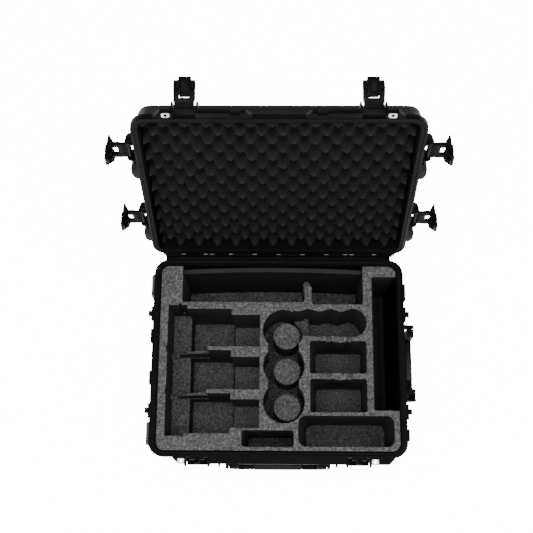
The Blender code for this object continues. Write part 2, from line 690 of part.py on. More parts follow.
def make_lid():
    lid = lid_body()
    join(lid, lid_bays() + lid_side_blocks())
    cut(lid, lid_notches())
    cut(lid, [arm_room(side, offset) for side, offset, _, _ in LATCHES.values()])
    for side, offset, _, _ in LATCHES.values():
        join(lid, latch_ears(side, offset))
    join(lid, lid_ridges())
    profile = hinge_profile_lid()
    join(lid, [prism(profile, start, end, "x") for start, end in knuckles(1)])
    cut(lid, [hinge_bore()])
    cut(lid, [ear_bore(side, offset) for side, offset, _, _ in LATCHES.values()])
    for sign in (-1, 1):
        seat = box((sign * PLATE_X - PLATE_WIDTH / 2 - GAP, -RIM_DEPTH / 2 - 0.020, RIM_Z - 0.005),
                   (sign * PLATE_X + PLATE_WIDTH / 2 + GAP, -RIM_DEPTH / 2 - 0.0018, RIM_Z + 0.0010 + PLATE_THICKNESS))
        hole = cylinder((sign * PLATE_X, -RIM_DEPTH / 2 - 0.0085, RIM_Z - 0.010),
                        (sign * PLATE_X, -RIM_DEPTH / 2 - 0.0085, RIM_Z + 0.030), 0.0040, 16)
        cut(lid, [seat, hole])
    ring = rounded_outline(INNER_WIDTH + 0.0190, INNER_DEPTH + 0.0190, INNER_RADIUS + 0.0095, 5)
    inner = rounded_outline(INNER_WIDTH + 0.0110, INNER_DEPTH + 0.0110, INNER_RADIUS + 0.0055, 5)
    cut(lid, [frame_ring(ring, inner, RIM_Z - 0.005, RIM_Z + 0.0040)])
    return finish(lid, "lid_shell", "shell_plastic", LID_OPEN, (0.0, HINGE_Y, HINGE_Z))


def frame_ring(outer, inner, low, high):
    """A picture-frame ring between two outlines."""
    ring = prism(outer, low, high)
    return cut(ring, [prism(inner, low - 0.01, high + 0.01)])


def make_gasket():
    outer = rounded_outline(INNER_WIDTH + 0.0180, INNER_DEPTH + 0.0180, INNER_RADIUS + 0.0090, 5)
    inner = rounded_outline(INNER_WIDTH + 0.0120, INNER_DEPTH + 0.0120, INNER_RADIUS + 0.0060, 5)
    ring = frame_ring(outer, inner, RIM_Z + 0.0006, RIM_Z + 0.0040 - GAP)
    return finish(ring, "lid_gasket", "gasket", LID_OPEN, (0.0, HINGE_Y, HINGE_Z))


def make_lid_foam():
    top = RIM_Z + LID_HEIGHT - LID_TOP_THICKNESS - GAP
    low = top - LID_FOAM_THICKNESS
    wide = INNER_WIDTH - 0.006 - 4 * GAP
    deep = INNER_DEPTH - 0.006 - 4 * GAP
    foam = prism(rounded_outline(wide, deep, INNER_RADIUS), low, top)
    return finish(foam, "lid_foam", "lid_foam", LID_OPEN, (0.0, HINGE_Y, HINGE_Z))


def make_hinge_pin():
    pin = cylinder((-0.2800, HINGE_Y, HINGE_Z), (0.2800, HINGE_Y, HINGE_Z), HINGE_PIN_RADIUS, 12)
    return finish(pin, "hinge_pin", "steel")


# ---------------------------------------------------------------- latches
def latch_local(turn_deg):
    """Arm frame turned about the arm's pivot: 0 hangs down, positive swings outwards and up."""
    pivot = Matrix.Translation((0.0, LATCH_PIVOT_OUT, LATCH_PIVOT_UP))
    return pivot @ Matrix.Rotation(math.radians(turn_deg), 4, "X")


def lever_local(turn_deg):
    return Matrix.Translation((0.0, 0.0, -LATCH_LINK)) @ Matrix.Rotation(math.radians(turn_deg), 4, "X")


def arm_solid():
    """Forked arm: barrel at the pivot, plate, two prongs holding the lever's pin."""
    arm = cylinder((-0.0228, 0.0, 0.0), (0.0228, 0.0, 0.0), 0.0045, 12)
    plate = box((-0.0200, -0.0035, -0.0238), (0.0200, 0.0030, 0.0))
    parts = [plate]
    for sign in (-1, 1):
        x0, x1 = sorted((sign * 0.0105, sign * 0.0200))
        prong = prism([(-0.0042, -0.0185), (0.0042, -0.0185), (0.0042, -LATCH_LINK), (0.0030, -LATCH_LINK - 0.0036),
                       (0.0, -LATCH_LINK - 0.0046), (-0.0030, -LATCH_LINK - 0.0036), (-0.0042, -LATCH_LINK)],
                      x0, x1, "x")
        parts.append(prong)
    join(arm, parts)
    cut(arm, [cylinder((-0.03, 0.0, 0.0), (0.03, 0.0, 0.0), LATCH_PIN_RADIUS + PIN_CLEARANCE, 12),
              cylinder((-0.03, 0.0, -LATCH_LINK), (0.03, 0.0, -LATCH_LINK), LATCH_PIN_RADIUS + GAP, 12)])
    return arm


def lever_solid():
    """Lever: face plate beyond the pin, two cheeks outside the prongs, two inner rails with the hook, a pull tab."""
    plate = box((-0.0219, 0.0058, -0.0240), (0.0219, 0.0090, -0.0055))
    parts = [prism([(0.0040, -0.0235), (0.0090, -0.0235), (0.0106, -0.0315), (0.0070, -0.0315)], -0.0130, 0.0130, "x")]
    parts.append(box((-0.0099, 0.0062, -0.0060), (0.0099, 0.0086, 0.0105)))
    for sign in (-1, 1):
        x0, x1 = sorted((sign * 0.0203, sign * 0.0217))
        parts.append(prism([(0.0070, -0.0235), (-0.0035, -0.0140), (-0.0052, -0.0040), (-0.0052, 0.0055),
                            (-0.0010, 0.0125), (0.0030, 0.0205), (0.0068, 0.0220)], x0, x1, "x"))
        x0, x1 = sorted((sign * 0.0075, sign * 0.0098))
        parts.append(prism([(0.0072, -0.0232), (-0.0030, -0.0205), (-0.0048, -0.0060), (-0.0048, 0.0045),
                            (0.0, 0.0100), (0.0072, 0.0110)], x0, x1, "x"))
    join(plate, parts)
    cut(plate, [cylinder((-0.03, 0.0, 0.0), (0.03, 0.0, 0.0), LATCH_PIN_RADIUS + PIN_CLEARANCE, 12)])
    return plate


def make_latch(name, side, offset, arm_turn, lever_turn):
    frame = LID_OPEN @ edge_frame(side, offset)
    arm_at = frame @ latch_local(arm_turn)
    lever_at = arm_at @ lever_local(lever_turn)
    finish(arm_solid(), "latch_arm_" + name, "latch_plastic", arm_at, arm_at.translation)
    finish(lever_solid(), "latch_lever_" + name, "latch_plastic", lever_at, lever_at.translation)
    pivot_pin = cylinder((-0.0273, 0.0, 0.0), (0.0273, 0.0, 0.0), LATCH_PIN_RADIUS, 12)
    finish(pivot_pin, "latch_pivot_pin_" + name, "steel", arm_at, arm_at.translation)
    lever_pin = cylinder((-0.0218, 0.0, 0.0), (0.0218, 0.0, 0.0), LATCH_PIN_RADIUS, 12)
    finish(lever_pin, "latch_lever_pin_" + name, "steel", lever_at, lever_at.translation)


# ---------------------------------------------------------------- carry handles, hanging folded down
def make_handle(name, side, width):
    frame = edge_frame(side, SIDE_HANDLE_Y if side == "right" else 0.0)
    z = HANDLE_PIVOT_Z - RIM_Z
    pivot = Vector((0.0, HANDLE_PIVOT_OUT, z))
    half = width / 2
    outer = rounded_box_outline(-half, half, z - HANDLE_DROP, z + 0.008, 0.010, 3)
    inner = rounded_box_outline(-half + 0.021, half - 0.021, z - HANDLE_DROP + 0.0170, z + 0.050, 0.008, 3)
    body = prism(outer, HANDLE_PIVOT_OUT - 0.0075, HANDLE_PIVOT_OUT + 0.0075, "y")
    cut(body, [prism(inner, HANDLE_PIVOT_OUT - 0.02, HANDLE_PIVOT_OUT + 0.02, "y")])
    cover_half = half - 0.0560 if side == "front" else half - 0.0480
    bar_z = z - HANDLE_DROP + 0.0085
    waist = box((-cover_half - GAP, HANDLE_PIVOT_OUT - 0.02, bar_z - 0.02),
                (cover_half + GAP, HANDLE_PIVOT_OUT + 0.02, bar_z + 0.02))
    core = box((-cover_half - 0.002, HANDLE_PIVOT_OUT - 0.0045, bar_z - 0.0050),
               (cover_half + 0.002, HANDLE_PIVOT_OUT + 0.0045, bar_z + 0.0050))
    cut(body, [waist])
    join(body, [core])
    bores = []
    for sign in (-1, 1):
        bores.append(cylinder((sign * (half - 0.014), pivot.y, z), (sign * (half + 0.010), pivot.y, z),
                              0.0030 + PIN_CLEARANCE, 16))
    cut(body, bores)
    at = frame @ pivot
    finish(body, name, "handle_plastic", frame, at)
    cover = prism(rounded_box_outline(HANDLE_PIVOT_OUT - 0.0085, HANDLE_PIVOT_OUT + 0.0085, bar_z - 0.0095,
                                      bar_z + 0.0095, 0.004, 3), -cover_half + GAP, cover_half - GAP, "x")
    hollow = box((-cover_half - 0.01, HANDLE_PIVOT_OUT - 0.0045 - GAP, bar_z - 0.0050 - GAP),
                 (cover_half + 0.01, HANDLE_PIVOT_OUT + 0.0045 + GAP, bar_z + 0.0050 + GAP))
    cut(cover, [hollow])
    finish(cover, name + "_cover", "grip_cover", frame, at)
    for sign, label in ((-1, "a"), (1, "b")):
        pin = cylinder((sign * (half - 0.0135), pivot.y, z), (sign * (half + 0.0080), pivot.y, z), 0.0030, 16)
        finish(pin, name + "_pin_" + label, "steel", frame, at)


# ---------------------------------------------------------------- wheels and pull handle
def make_wheel(name, sign):
    y = sign * WHEEL_Y
    half = WHEEL_WIDTH / 2
    rings = []
    for dy, radius in ((-half, 0.030), (-half + 0.003, WHEEL_RADIUS - 0.0005), (0.0, WHEEL_RADIUS),
                       (half - 0.003, WHEEL_RADIUS - 0.0005), (half, 0.030)):
        ring = []
        for step in range(24):
            angle = 2 * math.pi * step / 24
            ring.append((WHEEL_X + radius * math.cos(angle), y + dy, WHEEL_Z + radius * math.sin(angle)))
        rings.append(ring)
    wheel = loft(rings)
    recess = [cylinder((WHEEL_X, y + s * (half - 0.003), WHEEL_Z), (WHEEL_X, y + s * (half + 0.01), WHEEL_Z), 0.024, 16)
              for s in (-1, 1)]
    cut(wheel, recess)
    cut(wheel, [cylinder((WHEEL_X, y - 0.03, WHEEL_Z), (WHEEL_X, y + 0.03, WHEEL_Z), 0.0040 + PIN_CLEARANCE, 20)])
    finish(wheel, name, "wheel_rubber", None, (WHEEL_X, y, WHEEL_Z))
    axle = cylinder((WHEEL_X, y - 0.0290, WHEEL_Z), (WHEEL_X, y + 0.0250, WHEEL_Z), 0.0040, 20)
    finish(axle, name + "_axle", "steel", None, (WHEEL_X, y, WHEEL_Z))


def make_trolley():
    end = 0.2720
    for sign, label in ((-1, "front"), (1, "rear")):
        y = sign * TROLLEY_Y
        outline = rounded_box_outline(y - TUBE_WIDTH / 2, y + TUBE_WIDTH / 2, TUBE_Z - TUBE_HEIGHT / 2,
                                      TUBE_Z + TUBE_HEIGHT / 2, 0.003, 2)
        tube = prism(outline, end - TUBE_LENGTH, end, "x")
        finish(tube, "pull_handle_tube_" + label, "alloy", None, (end, 0.0, TUBE_Z))
    grip = prism(rounded_box_outline(-TROLLEY_Y - 0.016, TROLLEY_Y + 0.016, 0.0030, 0.0200, 0.006), 0.2668, 0.2890, "x")
    cut(grip, [box((0.2600, sign * TROLLEY_Y - TUBE_WIDTH / 2 - GAP, TUBE_Z - TUBE_HEIGHT / 2 - GAP),
                   (end + GAP, sign * TROLLEY_Y + TUBE_WIDTH / 2 + GAP, TUBE_Z + TUBE_HEIGHT / 2 + GAP))
               for sign in (-1, 1)])
    finish(grip, "pull_handle_grip", "handle_plastic", None, (end, 0.0, TUBE_Z))


def make_valve():
    body = cylinder((0.1650, -0.2360, 0.175), (0.1650, -0.2203, 0.175), 0.0115, 20)
    slot = box((0.1570, -0.2380, 0.1738), (0.1730, -0.2345, 0.1762))
    cut(body, [slot])
    finish(body, "pressure_valve", "latch_plastic")


# ---------------------------------------------------------------- build
def main():
    clear_scene()
    make_tub()
    make_bottom_pad()
    make_tub_foam()
    make_hinge_pin()
    make_valve()
    padlock_plate("tub_padlock_plate_left", -1, False)
    padlock_plate("tub_padlock_plate_right", 1, False)
    make_handle("front_handle", "front", FRONT_HANDLE_WIDTH)
    make_handle("side_handle", "right", SIDE_HANDLE_WIDTH)
    make_wheel("wheel_front", -1)
    make_wheel("wheel_rear", 1)
    make_trolley()
    make_lid()
    make_gasket()
    make_lid_foam()
    padlock_plate("lid_padlock_plate_left", -1, True, LID_OPEN)
    padlock_plate("lid_padlock_plate_right", 1, True, LID_OPEN)
    for name, values in LATCHES.items():
        make_latch(name, *values)


main()
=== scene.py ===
"""Looks for the wheeled drone case: detailed foam, shells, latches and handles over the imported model.

Metres, +Z up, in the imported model's frame. Pieces of the lid are built with the lid closed and then turned open.
"""

import json
import math

import bmesh
import bpy
from mathutils import Matrix, Vector


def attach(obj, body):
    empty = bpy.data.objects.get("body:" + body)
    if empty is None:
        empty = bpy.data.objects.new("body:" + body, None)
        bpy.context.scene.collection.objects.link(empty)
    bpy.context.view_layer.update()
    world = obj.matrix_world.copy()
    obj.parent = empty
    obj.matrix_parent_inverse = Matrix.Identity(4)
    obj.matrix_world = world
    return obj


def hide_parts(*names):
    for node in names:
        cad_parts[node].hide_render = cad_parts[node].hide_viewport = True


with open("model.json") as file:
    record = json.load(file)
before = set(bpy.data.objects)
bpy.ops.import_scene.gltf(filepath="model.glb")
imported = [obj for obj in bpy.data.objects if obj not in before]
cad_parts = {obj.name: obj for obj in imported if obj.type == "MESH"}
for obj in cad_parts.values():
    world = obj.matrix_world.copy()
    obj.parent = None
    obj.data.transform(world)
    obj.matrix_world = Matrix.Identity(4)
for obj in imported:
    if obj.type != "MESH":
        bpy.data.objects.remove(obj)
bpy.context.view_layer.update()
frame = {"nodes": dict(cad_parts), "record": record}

# ---------------------------------------------------------------- dimensions shared with the CAD model
RIM_WIDTH, RIM_DEPTH, RIM_Z = 0.600, 0.470, 0.275
INNER_WIDTH, INNER_DEPTH, INNER_RADIUS = 0.5666, 0.4406, 0.018
FLOOR_WIDTH, FLOOR_DEPTH, FLOOR_Z = 0.548, 0.423, 0.0265
PAD_THICKNESS, FOAM_TOP_Z, GAP = 0.020, 0.2715, 0.0003
LID_HEIGHT, LID_TOP_THICKNESS, LID_OPEN_DEG = 0.058, 0.005, 109.0
LID_FOAM_THICKNESS = 0.042
HINGE_Y, HINGE_Z = 0.247, 0.283
LATCH_LINK, LATCH_PIVOT_OUT, LATCH_PIVOT_UP = 0.038, 0.011, 0.014
HANDLE_PIVOT_OUT, HANDLE_PIVOT_Z, HANDLE_DROP = 0.0165, 0.248, 0.062
SIDE_HANDLE_Y = -0.012
WHEEL_X, WHEEL_Y, WHEEL_Z = -0.2800, 0.1790, 0.0450

LATCHES = {
    "front_left": ("front", -0.1875, 150.0, 0.0),
    "front_right": ("front", 0.1875, 150.0, 0.0),
    "left_front": ("left", -0.128, 90.0, -90.0),
    "left_rear": ("left", 0.104, 90.0, -90.0),
    "right_front": ("right", -0.128, 90.0, -90.0),
    "right_rear": ("right", 0.104, 90.0, -90.0),
}

HINGE_POINT = Vector((0.0, HINGE_Y, HINGE_Z))
LID_OPEN = (Matrix.Translation(HINGE_POINT) @ Matrix.Rotation(math.radians(-LID_OPEN_DEG), 4, "X")
            @ Matrix.Translation(-HINGE_POINT))


def edge_frame(side, offset):
    """A frame on the rim's outer face: x along the edge, y outwards, z up, at the seam."""
    if side == "front":
        return Matrix.Translation((offset, -RIM_DEPTH / 2, RIM_Z)) @ Matrix.Rotation(math.pi, 4, "Z")
    if side == "left":
        return Matrix.Translation((-RIM_WIDTH / 2, offset, RIM_Z)) @ Matrix.Rotation(math.pi / 2, 4, "Z")
    return Matrix.Translation((RIM_WIDTH / 2, offset, RIM_Z)) @ Matrix.Rotation(-math.pi / 2, 4, "Z")


# ---------------------------------------------------------------- materials
def new_material(name):
    made = bpy.data.materials.new(name)
    made.use_nodes = True
    tree = made.node_tree
    shader = tree.nodes["Principled BSDF"]
    return made, tree, shader


def noise(tree, coords, scale, detail=3.0, roughness=0.5, stretch=None):
    node = tree.nodes.new("ShaderNodeTexNoise")
    node.inputs["Scale"].default_value = scale
    node.inputs["Detail"].default_value = detail
    node.inputs["Roughness"].default_value = roughness
    source = coords.outputs["Object"]
    if stretch:
        mapping = tree.nodes.new("ShaderNodeMapping")
        mapping.inputs["Scale"].default_value = stretch
        tree.links.new(source, mapping.inputs["Vector"])
        source = mapping.outputs["Vector"]
    tree.links.new(source, node.inputs["Vector"])
    return node


def ramp(tree, source, stops):
    node = tree.nodes.new("ShaderNodeValToRGB")
    elements = node.color_ramp.elements
    while len(elements) < len(stops):
        elements.new(0.5)
    for element, (position, value) in zip(elements, stops):
        element.position = position
        element.color = (*value, 1.0) if isinstance(value, tuple) else (value, value, value, 1.0)
    tree.links.new(source, node.inputs["Fac"])
    return node


def bump(tree, shader, source, strength, distance, below=None):
    node = tree.nodes.new("ShaderNodeBump")
    node.inputs["Strength"].default_value = strength
    node.inputs["Distance"].default_value = distance
    tree.links.new(source, node.inputs["Height"])
    if below:
        tree.links.new(below.outputs["Normal"], node.inputs["Normal"])
    tree.links.new(node.outputs["Normal"], shader.inputs["Normal"])
    return node


def mix(tree, factor, first, second, mode="MIX"):
    node = tree.nodes.new("ShaderNodeMix")
    node.data_type = "RGBA"
    node.blend_type = mode
    for socket, value in (("Factor", factor), ("A", first), ("B", second)):
        plug(tree, node.inputs[socket], value)
    return node.outputs["Result"]


def plug(tree, socket, value):
    if isinstance(value, bpy.types.NodeSocket):
        tree.links.new(value, socket)
    elif isinstance(value, tuple):
        socket.default_value = (*value, 1.0)
    else:
        socket.default_value = value


def plastic(name, dark, light, rough, specular):
    """Moulded plastic: a fine pebbled grain, faint cloudy colour, rubbed patches and worn edges."""
    grain, grain_depth, edge_wear = 1400.0, 0.00012, 2.6
    made, tree, shader = new_material(name)
    coords = tree.nodes.new("ShaderNodeTexCoord")
    cloud = noise(tree, coords, 9.0, 4.0)
    pebble = noise(tree, coords, grain, 2.0, 0.6)
    scuff = noise(tree, coords, 60.0, 5.0, 0.7, (1.0, 1.0, 0.25))
    base = ramp(tree, cloud.outputs["Fac"], ((0.30, dark), (0.70, light)))
    edge = tree.nodes.new("ShaderNodeNewGeometry")
    worn = ramp(tree, edge.outputs["Pointiness"], ((0.53, 0.0), (0.66, 0.30)))
    paler = tuple(min(1.0, channel * edge_wear) for channel in light)
    rubbed = mix(tree, worn.outputs["Color"], base.outputs["Color"], paler)
    tree.links.new(rubbed, shader.inputs["Base Color"])
    gloss = ramp(tree, scuff.outputs["Fac"], ((0.35, rough - 0.07), (0.70, rough + 0.10)))
    tree.links.new(gloss.outputs["Color"], shader.inputs["Roughness"])
    shader.inputs["Specular IOR Level"].default_value = specular
    soft = bump(tree, shader, scuff.outputs["Fac"], 0.08, 0.0004)
    bump(tree, shader, pebble.outputs["Fac"], 0.35, grain_depth, soft)
    return made


def cut_foam(name):
    """Closed-cell foam: speckled grey skin on level faces; the cut walls nearly black, partly their own darker
    colour and partly painted shade; painted shade dims the colour deep down.
    """
    made, tree, shader = new_material(name)
    coords = tree.nodes.new("ShaderNodeTexCoord")
    speck = noise(tree, coords, 430.0, 3.0, 0.65)
    blotch = noise(tree, coords, 190.0, 3.0, 0.6)
    patch = noise(tree, coords, 22.0, 3.0)
    cells = tree.nodes.new("ShaderNodeTexVoronoi")
    cells.inputs["Scale"].default_value = 420.0
    tree.links.new(coords.outputs["Object"], cells.inputs["Vector"])
    mottle = mix(tree, 0.42, speck.outputs["Fac"], blotch.outputs["Fac"])
    skin = ramp(tree, mottle, ((0.36, (0.030, 0.029, 0.028)), (0.46, (0.085, 0.083, 0.081)),
                               (0.54, (0.150, 0.147, 0.143)), (0.64, (0.300, 0.294, 0.286))))
    tint = ramp(tree, patch.outputs["Fac"], ((0.30, 0.80), (0.70, 0.96)))
    skin_tinted = mix(tree, 1.0, skin.outputs["Color"], tint.outputs["Color"], "MULTIPLY")
    place = tree.nodes.new("ShaderNodeSeparateXYZ")
    tree.links.new(coords.outputs["Object"], place.inputs["Vector"])
    # painted shade: the colour is scaled from 1 at the foam top down to 0.72 deep in the pockets; level holds the
    # skin colour with this painted shade
    depth = tree.nodes.new("ShaderNodeMapRange")
    depth.inputs["From Min"].default_value = 0.170
    depth.inputs["From Max"].default_value = 0.268
    depth.inputs["To Min"].default_value = 0.72
    tree.links.new(place.outputs["Z"], depth.inputs["Value"])
    level = mix(tree, 1.0, skin_tinted, depth.outputs["Result"], "MULTIPLY")
    # the cut walls are nearly black: partly the foam's own darker cut colour, partly painted shade on the upright
    # faces
    wall_colour_and_shade = ramp(tree, speck.outputs["Fac"], ((0.35, (0.012, 0.012, 0.012)),
                                                   (0.65, (0.034, 0.034, 0.033))))
    geometry = tree.nodes.new("ShaderNodeNewGeometry")
    facing = tree.nodes.new("ShaderNodeSeparateXYZ")
    tree.links.new(geometry.outputs["Normal"], facing.inputs["Vector"])
    upright = ramp(tree, facing.outputs["Z"], ((0.45, 0.0), (0.80, 1.0)))
    colour = mix(tree, upright.outputs["Color"], wall_colour_and_shade.outputs["Color"], level)
    tree.links.new(colour, shader.inputs["Base Color"])
    rough = ramp(tree, cells.outputs["Distance"], ((0.0, 0.86), (0.6, 1.0)))
    tree.links.new(rough.outputs["Color"], shader.inputs["Roughness"])
    shader.inputs["Specular IOR Level"].default_value = 0.12
    coarse = bump(tree, shader, mottle, 0.5, 0.0006)
    bump(tree, shader, cells.outputs["Distance"], 0.35, 0.0004, coarse)
    return made


def crate_foam(name, brightness):
    """Open-cell charcoal foam, with painted shade and highlight. The lift attribute runs from 0 in the hollows to
    1 on the crests, and the colour is painted darker in the hollows and lighter on the crests; pieces without it
    take the ramp's dark end, so their brightness is set higher."""
    made, tree, shader = new_material(name)
    coords = tree.nodes.new("ShaderNodeTexCoord")
    cells = tree.nodes.new("ShaderNodeTexVoronoi")
    cells.inputs["Scale"].default_value = 700.0
    tree.links.new(coords.outputs["Object"], cells.inputs["Vector"])
    cloud = noise(tree, coords, 35.0, 4.0)
    lift = tree.nodes.new("ShaderNodeAttribute")
    lift.attribute_name = "lift"
    # painted shade in the hollows and painted highlight on the crests, following the lift value
    shade = ramp(tree, lift.outputs["Fac"], ((0.05, (0.0042, 0.0043, 0.0044)), (0.55, (0.0074, 0.0076, 0.0078)),
                                             (0.97, (0.0118, 0.0121, 0.0124))))
    tint = ramp(tree, cloud.outputs["Fac"], ((0.30, 0.80 * brightness), (0.70, brightness)))
    colour = mix(tree, 1.0, shade.outputs["Color"], tint.outputs["Color"], "MULTIPLY")
    tree.links.new(colour, shader.inputs["Base Color"])
    rough = ramp(tree, cells.outputs["Distance"], ((0.0, 0.84), (0.6, 1.0)))
    tree.links.new(rough.outputs["Color"], shader.inputs["Roughness"])
    shader.inputs["Specular IOR Level"].default_value = 0.12
    bump(tree, shader, cells.outputs["Distance"], 0.6, 0.0006)
    return made


def metal(name, dark, light, rough, stretch):
    """Brushed metal: long fine scratches along one direction, with small stains in the roughness."""
    made, tree, shader = new_material(name)
    coords = tree.nodes.new("ShaderNodeTexCoord")
    brushed = noise(tree, coords, 900.0, 3.0, 0.6, stretch)
    stain = noise(tree, coords, 120.0, 4.0)
    colour = ramp(tree, brushed.outputs["Fac"], ((0.30, dark), (0.70, light)))
    tree.links.new(colour.outputs["Color"], shader.inputs["Base Color"])
    gloss = ramp(tree, stain.outputs["Fac"], ((0.30, rough - 0.06), (0.75, rough + 0.12)))
    tree.links.new(gloss.outputs["Color"], shader.inputs["Roughness"])
    shader.inputs["Metallic"].default_value = 1.0
    bump(tree, shader, brushed.outputs["Fac"], 0.15, 0.0001)
    return made


def rubber(name, dark, light, rough, specular):
    """Soft dull rubber with dusty patches that are paler and rougher."""
    made, tree, shader = new_material(name)
    coords = tree.nodes.new("ShaderNodeTexCoord")
    dust = noise(tree, coords, 45.0, 5.0, 0.65)
    fine = noise(tree, coords, 1100.0, 2.0)
    colour = ramp(tree, dust.outputs["Fac"], ((0.35, dark), (0.72, light)))
    tree.links.new(colour.outputs["Color"], shader.inputs["Base Color"])
    gloss = ramp(tree, dust.outputs["Fac"], ((0.30, rough), (0.75, rough + 0.12)))
    tree.links.new(gloss.outputs["Color"], shader.inputs["Roughness"])
    shader.inputs["Specular IOR Level"].default_value = specular
    bump(tree, shader, fine.outputs["Fac"], 0.3, 0.0001)
    return made


# Each look: name, darkest and lightest base colour, roughness, then specular level or scratch direction.
LOOKS = {
    "shell_plastic": plastic(
        "shell_plastic_look", (0.0021, 0.0023, 0.0025), (0.0033, 0.0035, 0.0038), 0.50, 0.06),
    "latch_plastic": plastic(
        "latch_plastic_look", (0.0022, 0.0023, 0.0025), (0.0036, 0.0038, 0.0041), 0.46, 0.08),
    "handle_plastic": plastic(
        "handle_plastic_look", (0.0020, 0.0021, 0.0023), (0.0032, 0.0034, 0.0037), 0.48, 0.07),
    "grip_cover": rubber(
        "grip_cover_look", (0.0080, 0.0084, 0.0090), (0.0120, 0.0125, 0.0135), 0.40, 0.18),
    "base_foam": cut_foam("tub_foam_look"),
    "lid_foam": crate_foam("lid_foam_look", 1.45),
    "dark_lining": crate_foam("dark_lining_look", 6.0),
    "ledge": crate_foam("ledge_look", 8.0),
    "gasket": rubber("gasket_look", (0.0024, 0.0025, 0.0026), (0.0040, 0.0041, 0.0043), 0.60, 0.10),
    "steel": metal("steel_look", (0.42, 0.41, 0.39), (0.66, 0.65, 0.62), 0.24, (0.06, 1.0, 1.0)),
    "hinge_steel": metal("hinge_steel_look", (0.16, 0.16, 0.16), (0.26, 0.26, 0.26), 0.40, (0.06, 1.0, 1.0)),
    "dark_pin": metal("dark_pin_look", (0.012, 0.012, 0.013), (0.022, 0.022, 0.023), 0.45, (0.06, 1.0, 1.0)),
    "alloy": metal("alloy_look", (0.34, 0.34, 0.35), (0.48, 0.48, 0.50), 0.32, (0.04, 1.0, 1.0)),
    "wheel_rubber": rubber("wheel_rubber_look", (0.012, 0.012, 0.013), (0.026, 0.026, 0.027), 0.62, 0.35),
}
SLOT_OF = {part["node"]: part["material_slot"] for part in frame["record"]["subparts"]}
BODY_OF = {node: body for body, nodes in frame["record"]["behaviour"]["bodies"].items() for node in nodes}


# ---------------------------------------------------------------- mesh helpers
def to_object(name, bm, closed=True):
    if closed:
        bmesh.ops.recalc_face_normals(bm, faces=bm.faces)
    mesh = bpy.data.meshes.new(name)
    bm.to_mesh(mesh)
    bm.free()
    obj = bpy.data.objects.new(name, mesh)
    bpy.context.scene.collection.objects.link(obj)
    return obj


def box(low, high):
    bm = bmesh.new()
    bmesh.ops.create_cube(bm, size=1.0)
    for vert in bm.verts:
        for axis in range(3):
            vert.co[axis] = low[axis] + (vert.co[axis] + 0.5) * (high[axis] - low[axis])
    return to_object("tool", bm)


def prism(points, low, high, along="z"):
    """An outline pushed along one axis: along z it is (x, y), along x (y, z), along y (x, z)."""
    order = {"z": (0, 1, 2), "x": (1, 2, 0), "y": (0, 2, 1)}[along]
    bm = bmesh.new()
    loops = []
    for height in (low, high):
        loop = []
        for point in points:
            co = [0.0, 0.0, 0.0]
            co[order[0]], co[order[1]], co[order[2]] = point[0], point[1], height
            loop.append(bm.verts.new(co))
        loops.append(loop)
    bm.faces.new(loops[0])
    bm.faces.new(loops[1])
    for i in range(len(points)):
        j = (i + 1) % len(points)
        bm.faces.new((loops[0][i], loops[0][j], loops[1][j], loops[1][i]))
    return to_object("tool", bm)


def cylinder(start, end, radius, sides=32):
    start, end = Vector(start), Vector(end)
    bm = bmesh.new()
    turn = (end - start).to_track_quat("Z", "Y").to_matrix().to_4x4()
    bmesh.ops.create_cone(bm, cap_ends=True, segments=sides, radius1=radius, radius2=radius,
                          depth=(end - start).length, matrix=Matrix.Translation((start + end) / 2) @ turn)
    return to_object("tool", bm)


def rounded_outline(width, depth, radius, steps=8, centre=(0.0, 0.0)):
    points = []
    for quarter, (sx, sy) in enumerate(((1, -1), (1, 1), (-1, 1), (-1, -1))):
        cx = centre[0] + sx * (width / 2 - radius)
        cy = centre[1] + sy * (depth / 2 - radius)
        for step in range(steps + 1):
            angle = math.radians(-90 + 90 * quarter + 90 * step / steps)
            points.append((cx + radius * math.cos(angle), cy + radius * math.sin(angle)))
    return points


def rounded_box_outline(x0, x1, y0, y1, radius, steps=6):
    return rounded_outline(x1 - x0, y1 - y0, radius, steps, ((x0 + x1) / 2, (y0 + y1) / 2))


def loft(rings):
    bm = bmesh.new()
    loops = [[bm.verts.new(point) for point in ring] for ring in rings]
    for lower, upper in zip(loops, loops[1:]):
        for i in range(len(lower)):
            j = (i + 1) % len(lower)
            bm.faces.new((lower[i], lower[j], upper[j], upper[i]))
    bm.faces.new(loops[0])
    bm.faces.new(loops[-1])
    return to_object("tool", bm)


def level(outline, z):
    return [(x, y, z) for x, y in outline]


def bake(obj):
    graph = bpy.context.evaluated_depsgraph_get()
    graph.update()
    fresh = bpy.data.meshes.new_from_object(obj.evaluated_get(graph))
    obj.modifiers.clear()
    obj.data = fresh


def combine(target, tools, operation):
    for tool in tools:
        step = target.modifiers.new("step", "BOOLEAN")
        step.operation = operation
        step.solver = "EXACT"
        step.object = tool
        bake(target)
        bpy.data.objects.remove(tool, do_unlink=True)
    return target


def join(target, tools):
    return combine(target, tools, "UNION")


def cut(target, tools):
    return combine(target, tools, "DIFFERENCE")


def gather(target, tools):
    """Adds other meshes to the target's mesh as they are."""
    bm = bmesh.new()
    bm.from_mesh(target.data)
    for tool in tools:
        bm.from_mesh(tool.data)
        bpy.data.objects.remove(tool, do_unlink=True)
    bm.to_mesh(target.data)
    bm.free()
    return target


def clean(obj, degrees=1.0):
    """Merges the flat triangles back into whole faces, so that bevels follow the real edges."""
    bm = bmesh.new()
    bm.from_mesh(obj.data)
    bmesh.ops.remove_doubles(bm, verts=bm.verts, dist=2e-5)
    bmesh.ops.dissolve_limit(bm, angle_limit=math.radians(degrees), verts=bm.verts, edges=bm.edges)
    bm.to_mesh(obj.data)
    bm.free()


